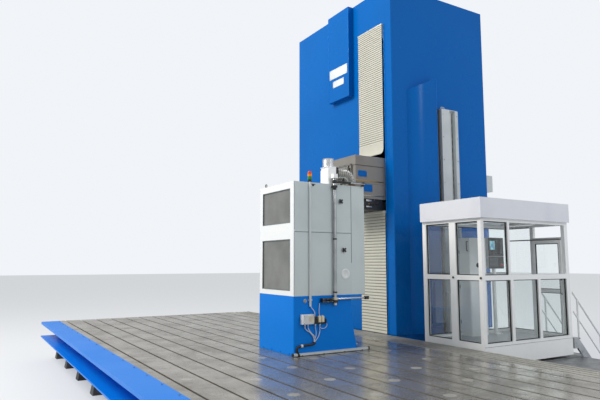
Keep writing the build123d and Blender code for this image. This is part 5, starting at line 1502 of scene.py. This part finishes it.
        # signal tower: a foot and three lenses with dark joints between them
        x, y = 1.800, -4.580
        foot = lathe(
            (x, y, STATION_TOP), UP,
            [(0, 0.045), (0.014, 0.045), (0.018, 0.034), (0.048, 0.034), (0.050, 0.036), (0.056, 0.036)], 20,
        )
        caps = [lathe((x, y, z), UP, [(0, 0.0405), (0.004, 0.0405)], 20) for z in (4.103, 4.159, 4.213)]
        tower = finished("signal_tower_body", [foot] + caps, body, "black nylon")
        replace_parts(tower, "signal_tower")
        for name, low, finish in (("green", 4.107, "green lens"), ("amber", 4.163, "amber lens")):
            lens = lathe(
                (x, y, low), UP,
                [
                    (0, 0.040), (0.013, 0.040), (0.015, 0.038), (0.017, 0.040), (0.032, 0.040), (0.034, 0.038),
                    (0.036, 0.040), (0.051, 0.040),
                ],
                20,
            )
            finished(f"signal_tower_{name}", lens, body, finish)
        dome = lathe(
            (x, y, 4.217), UP, [(0, 0.040), (0.020, 0.040), (0.034, 0.034), (0.043, 0.022), (0.047, 0.010)], 20,
        )
        finished("signal_tower_red", dome, body, "red lens")
        return {"FINISHED"}


class MILL_OT_station_service(bpy.types.Operator):
    """Fits the boxes, valves, leads, hose, pipe clamps and drip pipe on the station's side"""

    bl_idname = "mill.station_service"
    bl_label = "Station services"

    def execute(self, context):
        body, side = "machine_base", STATION_SIDE
        # terminal box with a screwed lid, whose field is left bare
        lid = panel((1.962, -4.816, 1.544), (1.974, -4.599, 1.701), RIGHT, 0.014, -0.002, 0.004)
        case = block((side, -4.822, 1.538), (1.964, -4.593, 1.707), 0.008)
        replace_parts(finished("terminal_box", [case, lid], body, "grey abs"), "station_controls")
        spots = [(1.974, y, z) for y in (-4.803, -4.612) for z in (1.557, 1.688)]
        screwed("terminal_box_screws", spots, RIGHT, 0.006, 0.003, body, "black nylon")
        ribs = row(block((1.9735, -4.700, 1.575), (1.9760, -4.690, 1.670), 0.001, 1), 6, (0, 0.014, 0))
        finished("terminal_box_ribs", ribs, body, "cream nylon")

        # valve block with two coils and a filter bowl
        base = block((side, -4.580, 1.530), (1.915, -4.300, 1.610), 0.006)
        coils = [block((1.885, y, 1.560), (1.940, y + 0.050, 1.668), 0.006) for y in (-4.480, -4.415)]
        heads = [
            lathe((1.912, y + 0.025, 1.668), UP, [(0, 0.014), (0.010, 0.014), (0.012, 0.009)], 10)
            for y in (-4.480, -4.415)
        ]
        bowl = lathe((1.905, -4.330, 1.618), DOWN, [(0, 0.020), (0.006, 0.026), (0.060, 0.026), (0.085, 0.014)], 16)
        mount = block((1.870, -4.570, 1.600), (1.925, -4.500, 1.664), 0.005)
        finished("valve_block", [base, bowl, mount], body, "black nylon")
        finished("valve_coils", coils + heads, body, "cream nylon")

        glands = [
            lathe((1.900, y, z), DOWN, [(0, 0.013), (0.012, 0.013), (0.014, 0.010), (0.030, 0.008)], 10)
            for y, z in ((-4.746, 1.538), (-4.682, 1.538), (-4.434, 1.532), (-4.530, 1.532))
        ]
        finished("service_glands", glands, body, "white cable")
        # the leads hang in one plane before the wall, and the hose that gathers them lies 4 mm further out
        x, out = 1.884, 1.884 + 0.004
        runs = (
            (0.0065, [(x, -4.617, 1.862), (x, -4.612, 1.820), (x, -4.565, 1.780), (x, -4.539, 1.745),
                (x, -4.531, 1.700), (x, -4.531, 1.660)]),
            (0.0055, [(x, -4.433, 1.886), (x, -4.436, 1.82), (x, -4.444, 1.76), (x, -4.440, 1.71), (x, -4.436, 1.672)]),
            (0.0075, [(1.900, -4.746, 1.512), (x, -4.742, 1.470), (x, -4.700, 1.430), (x, -4.640, 1.400),
                (x, -4.570, 1.330), (x, -4.545, 1.260), (x, -4.552, 1.192)]),
            (0.0065, [(1.900, -4.682, 1.512), (x, -4.676, 1.475), (x, -4.655, 1.436), (x, -4.600, 1.372),
                (x, -4.535, 1.320), (x, -4.530, 1.250), (x, -4.560, 1.192)]),
            (0.0065, [(1.900, -4.434, 1.506), (x, -4.430, 1.450), (x, -4.425, 1.400), (x, -4.450, 1.320),
                (x, -4.505, 1.255), (x, -4.545, 1.215), (x, -4.570, 1.192)]),
            (0.0055, [(1.900, -4.530, 1.506), (x, -4.520, 1.450), (x, -4.500, 1.380), (x, -4.515, 1.310),
                (x, -4.545, 1.240), (x, -4.570, 1.196)]),
            (0.005, [(x, -4.310, 1.560), (x, -4.285, 1.540), (x, -4.270, 1.490), (x, -4.310, 1.450),
                (x, -4.380, 1.440), (x, -4.428, 1.470), (x, -4.434, 1.506)]),
        )
        leads = [lead(points, radius) for radius, points in runs]
        finished("service_leads", leads, body, "white cable")
        hose = lead(
            [
                (out, -4.545, 1.200), (out, -4.600, 1.182), (out, -4.720, 1.178), (out, -4.820, 1.172),
                (out, -4.892, 1.158), (out, -4.905, 1.100), (out, -4.880, 1.050), (out, -4.868, 1.026),
            ],
            0.021,
        )
        finished("service_hose", hose, body, "black hose")
        collar = lathe(
            (out, -4.824, 1.172), (0, 1, -0.03), [(0, 0.0225), (0.003, 0.027), (0.037, 0.027), (0.04, 0.0225)], 16,
        )
        finished("service_hose_collar", collar, body, "white cable")
        cuffs = [
            lathe(
                (out, -4.528, 1.204), (0, -1, -0.2), [(0, 0.015), (0.006, 0.026), (0.034, 0.026), (0.04, 0.0215)], 16,
            ),
            lathe(
                (out, -4.868, 1.004), UP, [(0, 0.034), (0.008, 0.034), (0.012, 0.026), (0.034, 0.026), (0.038, 0.0215)],
                16,
            ),
        ]
        finished("service_hose_cuffs", cuffs, body, "black nylon")
        saddles = [block((side - 0.001, y - 0.012, 1.165), (out, y + 0.012, 1.195), 0.003) for y in (-4.64, -4.75)]
        finished("service_hose_clips", saddles, body, "ground steel")

        # clamps round the upright pipe and brackets under the drip pipe
        pipe_y = -4.617
        clamps = []
        for z in (1.95, 2.45, 3.05, 3.55, 3.98):
            clamps.append(
                block((side - 0.001, pipe_y - 0.040, z - 0.009), (side + 0.006, pipe_y + 0.040, z + 0.009), 0.002)
            )
            clamps.append(block((side - 0.001, pipe_y - 0.026, z - 0.009), (1.907, pipe_y + 0.026, z + 0.009), 0.006))
        finished("pipe_clamps", clamps, body, "rail coat")
        low, high = BOX["station_conduits"]
        ends = [
            lathe(
                (1.882, low.y + 0.02, 1.034), FRONT, [(0, 0.0235), (0.002, 0.030), (0.024, 0.030), (0.028, 0.022)], 16,
            ),
            lathe(
                (1.882, high.y - 0.02, 1.034), BACK, [(0, 0.0235), (0.002, 0.030), (0.024, 0.030), (0.028, 0.022)], 16,
            ),
        ]
        finished("drip_pipe_caps", ends, body, "black nylon")
        feet = [block((1.862, y - 0.015, 1.0), (1.902, y + 0.015, 1.016), 0.003) for y in (-4.80, -4.35, -3.90, -3.50)]
        finished("drip_pipe_feet", feet, body, "black paint")
        return {"FINISHED"}


class MILL_OT_milling_heads(bpy.types.Operator):
    """Adds coupling rings, bolts, cutters, eyes and plugs to the two heads in the station"""

    bl_idname = "mill.milling_heads"
    bl_label = "Milling heads"

    def execute(self, context):
        body, x, rear = "machine_base", 1.205, -3.720
        rings, bolts, cutters, inserts, eyes, plugs = [], [], [], [], [], []
        for foot in (2.140, 3.160):
            z = foot + 0.26
            rings.append(
                lathe(
                    (x, rear, z), BACK,
                    [(0, 0.190), (0.006, 0.190), (0.008, 0.150), (0.004, 0.146), (0.004, 0.070), (-0.02, 0.060)], 32,
                )
            )
            rings += [
                block(
                    (x + s * 0.165 - 0.02, rear - 0.002, z - 0.012), (x + s * 0.165 + 0.02, rear + 0.010, z + 0.012),
                    0.002,
                )
                for s in (-1, 1)
            ]
            bolts += hex_screws(
                [(x + i, rear, z + j) for i in (-0.22, 0, 0.22) for j in (-0.22, 0.22)], BACK, 0.014, 0.009
            )
            nose, y = 1.495, -3.980
            cutters.append(
                lathe(
                    (nose, y, z), RIGHT,
                    [
                        (0, 0.098), (0.012, 0.098), (0.014, 0.070), (0.040, 0.070), (0.046, 0.090), (0.090, 0.100),
                        (0.094, 0.080), (0.080, 0.030),
                    ],
                    32,
                )
            )
            tip = block((nose + 0.066, y - 0.010, z + 0.088), (nose + 0.098, y + 0.004, z + 0.108), 0.003, 1)
            for k in range(8):
                twin = copies(tip, [(0, 0, 0)])[1]
                edit_all(twin)
                bpy.ops.transform.rotate(value=math.pi / 4 * k, orient_axis="X", center_override=(nose, y, z))
                leave()
                inserts.append(twin)
            pick(tip)
            bpy.ops.object.delete()
            for side in (-0.15, 0.15):
                eyes.append(
                    lathe(
                        (x + side, -3.98, foot + 0.52), UP,
                        [(0, 0.030), (0.008, 0.030), (0.012, 0.018), (0.026, 0.016)], 16,
                    )
                )
                eyes.append(bent_eye(x + side, -3.98, foot + 0.544, foot + 0.596, 0.026, 0.008, 0.024))
            plugs += hex_screws(
                [(1.435, -4.14, z + 0.15), (1.435, -4.14, z - 0.17), (1.435, -3.84, z - 0.17)], RIGHT, 0.022, 0.010,
            )
        finished("head_coupling_rings", rings, body, "ground steel")
        finished("head_flange_bolts", bolts, body, "black paint")
        finished("head_cutters", cutters, body, "spindle steel")
        finished("head_inserts", inserts, body, "bronze")
        finished("head_lifting_eyes", eyes, body, "black paint")
        finished("head_oil_plugs", plugs, body, "bronze")
        low, high = BOX["station_shelves"]
        edge = [
            block((low.x + 0.01, high.y - 0.002, z + 0.004), (high.x - 0.01, high.y + 0.006, z + 0.056), 0.003)
            for z in (2.080, 3.100)
        ]
        finished("station_shelf_edges", edge, body, "galvanised")
        return {"FINISHED"}


class MILL_OT_floor(bpy.types.Operator):
    """Presses the caps into the clamping floor and bolts its edge channel"""

    bl_idname = "mill.floor"
    bl_label = "Clamping floor"

    def execute(self, context):
        size = context.scene.mill_looks.cap_size
        body = "machine_base"
        cap = lathe(
            (0, 0, FLOOR - 0.001), UP,
            [(0, size / 2), (0.0018, size / 2), (0.0025, size / 2 - 0.004), (0.0025, 0.016), (0.0015, 0.012)], 18,
        )
        spots = []
        for start, ys in ((0.64, (-7.14, -5.46, -3.86)), (0.13, (-6.34, -4.74, -3.14))):
            for y in ys:
                for k in range(-7, 7):
                    x = start + 1.02 * k
                    if abs(x) < 6.4 and not (0.45 < x < 1.96 and -5.05 < y < -3.3):
                        spots.append(Vector((x, y, 0)))
        caps = copies(cap, spots)
        pick(caps[0])
        bpy.ops.object.delete()
        finished("floor_caps", caps[1:], body, "cap alloy", 25)
        rim = BOX["edge_channel"][1]
        spots = [(-6.3 + 0.7 * k, rim.y - 0.04, rim.z) for k in range(19)]
        edge = hex_screws(spots, UP, 0.014, 0.008)
        finished("edge_channel_bolts", edge, body, "ground steel")
        return {"FINISHED"}


class MILL_OT_covers(bpy.types.Operator):
    """Fits wipers and rivets to the telescopic way covers"""

    bl_idname = "mill.covers"
    bl_label = "Way covers"

    def execute(self, context):
        # each cover is a body of its own, and out is the side of it that leads away from the column
        for cover, out in (("left_cover_1", -1), ("left_cover_2", -1), ("right_cover_1", 1)):
            low, high = BOX[cover]
            x = low.x if out < 0 else high.x
            near, far = (x - 0.010, x + 0.004) if out < 0 else (x - 0.004, x + 0.010)
            lip = block((near, low.y + 0.03, high.z - 0.030), (far, high.y - 0.03, high.z + 0.004), 0.003)
            finished(f"{cover}_wiper", lip, cover, "rubber")
            # the wiper of the next cover slides over this one, so it has no rivets
            if cover == "left_cover_2":
                continue
            inside = x + 0.05 if out < 0 else x - 0.05
            spots = [(inside, low.y + 0.12 + (high.y - low.y - 0.24) / 11 * k, high.z) for k in range(12)]
            screwed(f"{cover}_rivets", spots, UP, 0.009, 0.004, cover)
        low, high = BOX["saddle_covers"]
        spots = [(x, low.y + 0.12 + 0.24 * k, high.z) for x in (low.x + 0.06, high.x - 0.06) for k in range(12)]
        screwed("saddle_cover_rivets", spots, UP, 0.009, 0.004, "column_carriage")
        return {"FINISHED"}


def direct_rays(owner):
    """The light path of a material or world, and 1 for the rays that come from the camera or through glass."""
    rays = add(owner, "ShaderNodeLightPath")
    ends = {0: (rays, "Is Camera Ray"), 1: (rays, "Is Transmission Ray")}
    return rays, add(owner, "ShaderNodeMath", {"operation": "MAXIMUM"}, ends)


class MillStage(bpy.types.PropertyGroup):
    lens: bpy.props.FloatProperty(name="Lens", description="Focal length on a 36 mm frame", default=33.1, min=10.0)
    key: bpy.props.FloatProperty(
        name="Front light", description="Power of the large soft lamp in front of the mill", default=3500.0, min=0.0,
        unit="POWER",
    )
    fill: bpy.props.FloatProperty(
        name="Side light", description="Power of the weaker lamp on the right", default=1200.0, min=0.0, unit="POWER",
    )
    sky: bpy.props.FloatProperty(
        name="Even light", description="Strength of the even light from all round", default=0.66, min=0.0,
    )


class MILL_OT_stage(bpy.types.Operator):
    """Sets the pale floor, the soft light and the camera"""

    bl_idname = "mill.stage"
    bl_label = "Stage"

    def execute(self, context):
        stage = context.scene.mill_stage
        floor_paint = fresh("pale_stage_paint")[0]
        rays, seen = direct_rays(floor_paint)
        every = add(
            floor_paint, "ShaderNodeMath", {"operation": "MAXIMUM"}, {0: (seen, "Value"), 1: (rays, "Is Glossy Ray")},
        )
        share = add(floor_paint, "ShaderNodeMath", {"operation": "MULTIPLY", 1: 0.5}, {0: (every, "Value")})
        paint = add(floor_paint, "ShaderNodeBsdfDiffuse", {"Color": colour("#E2E4E6")})
        glow = add(floor_paint, "ShaderNodeEmission", {"Color": colour("#EEF0F2"), "Strength": 1.0})
        both = add(
            floor_paint, "ShaderNodeMixShader", None, {0: (share, "Value"), 1: (paint, "BSDF"), 2: (glow, "Emission")},
        )
        add(floor_paint, "ShaderNodeOutputMaterial", None, {"Surface": (both, "Shader")})
        deselect()
        bpy.ops.mesh.primitive_plane_add(size=240, location=(0, 0, -0.002))
        floor = painted(settle(bpy.context.object), floor_paint)
        floor.name = "stage_floor"

        world = bpy.data.worlds.new("even_sky")
        world.use_nodes = True
        world.node_tree.nodes.clear()
        context.scene.world = world
        seen = direct_rays(world)[1]
        level = add(world, "ShaderNodeMapRange", {"To Min": stage.sky, "To Max": 1.0}, {"Value": (seen, "Value")})
        back = add(world, "ShaderNodeBackground", {"Color": colour("#F1F4F8")}, {"Strength": (level, "Result")})
        add(world, "ShaderNodeOutputWorld", None, {"Surface": (back, "Background")})

        for name, spot, aim, size, power, tint in (
            ("front_softlight", (-4, -19, 17), (-1, 0, 5), 10.0, stage.key, "#FFFDF8"),
            ("side_softlight", (24, 5, 16), (1, -1, 4), 8.0, stage.fill, "#F2F6FF"),
        ):
            lamp = bpy.data.lights.new(name, "AREA")
            lamp.shape = "DISK"
            lamp.size = size
            lamp.energy = power
            lamp.color = colour(tint)[:3]
            obj = bpy.data.objects.new(name, lamp)
            context.collection.objects.link(obj)
            obj.location = spot
            obj.rotation_euler = (Vector(aim) - Vector(spot)).to_track_quat("-Z", "Y").to_euler()
        camera = bpy.data.cameras.new("photo_view")
        camera.lens = stage.lens
        camera.clip_end = 400
        eye = bpy.data.objects.new("photo_view", camera)
        context.collection.objects.link(eye)
        eye.location = (10.2, -9.9, 2.6)
        eye.rotation_euler = Vector((-0.8487, 0.5166, 0.1132)).to_track_quat("-Z", "Y").to_euler()
        context.scene.camera = eye
        context.scene.view_settings.view_transform = "Standard"
        return {"FINISHED"}


PIECES = (
    "finishes", "stage", "aprons", "column_trim", "headstock_trim", "spindle_trim", "chain", "cabin_trim",
    "cabin_door", "control_panel", "stairs", "station_cabinet", "station_drive", "station_service",
    "milling_heads", "floor", "covers",
)


class MILL_PT_panel(bpy.types.Panel):
    bl_label = "Boring Mill"
    bl_idname = "MILL_PT_panel"
    bl_space_type = "VIEW_3D"
    bl_region_type = "UI"
    bl_category = "Boring Mill"

    def draw(self, context):
        layout = self.layout
        for group in (context.scene.mill_looks, context.scene.mill_stage):
            for key in group.bl_rna.properties.keys():
                if key not in ("name", "rna_type"):
                    layout.prop(group, key)
        for piece in PIECES:
            layout.operator(f"mill.{piece}")


CLASSES = (
    MillLooks, MillStage, MILL_OT_finishes, MILL_OT_stage, MILL_OT_aprons, MILL_OT_column_trim,
    MILL_OT_headstock_trim, MILL_OT_spindle_trim, MILL_OT_chain, MILL_OT_cabin_trim, MILL_OT_cabin_door,
    MILL_OT_control_panel, MILL_OT_stairs, MILL_OT_station_cabinet, MILL_OT_station_drive,
    MILL_OT_station_service, MILL_OT_milling_heads, MILL_OT_floor, MILL_OT_covers, MILL_PT_panel,
)


def register():
    for cls in CLASSES:
        bpy.utils.register_class(cls)
    bpy.types.Scene.mill_looks = bpy.props.PointerProperty(type=MillLooks)
    bpy.types.Scene.mill_stage = bpy.props.PointerProperty(type=MillStage)


def unregister():
    del bpy.types.Scene.mill_stage
    del bpy.types.Scene.mill_looks
    for cls in reversed(CLASSES):
        bpy.utils.unregister_class(cls)


def main():
    register()
    for piece in PIECES:
        getattr(bpy.ops.mill, piece)()


if __name__ == "__main__":
    main()
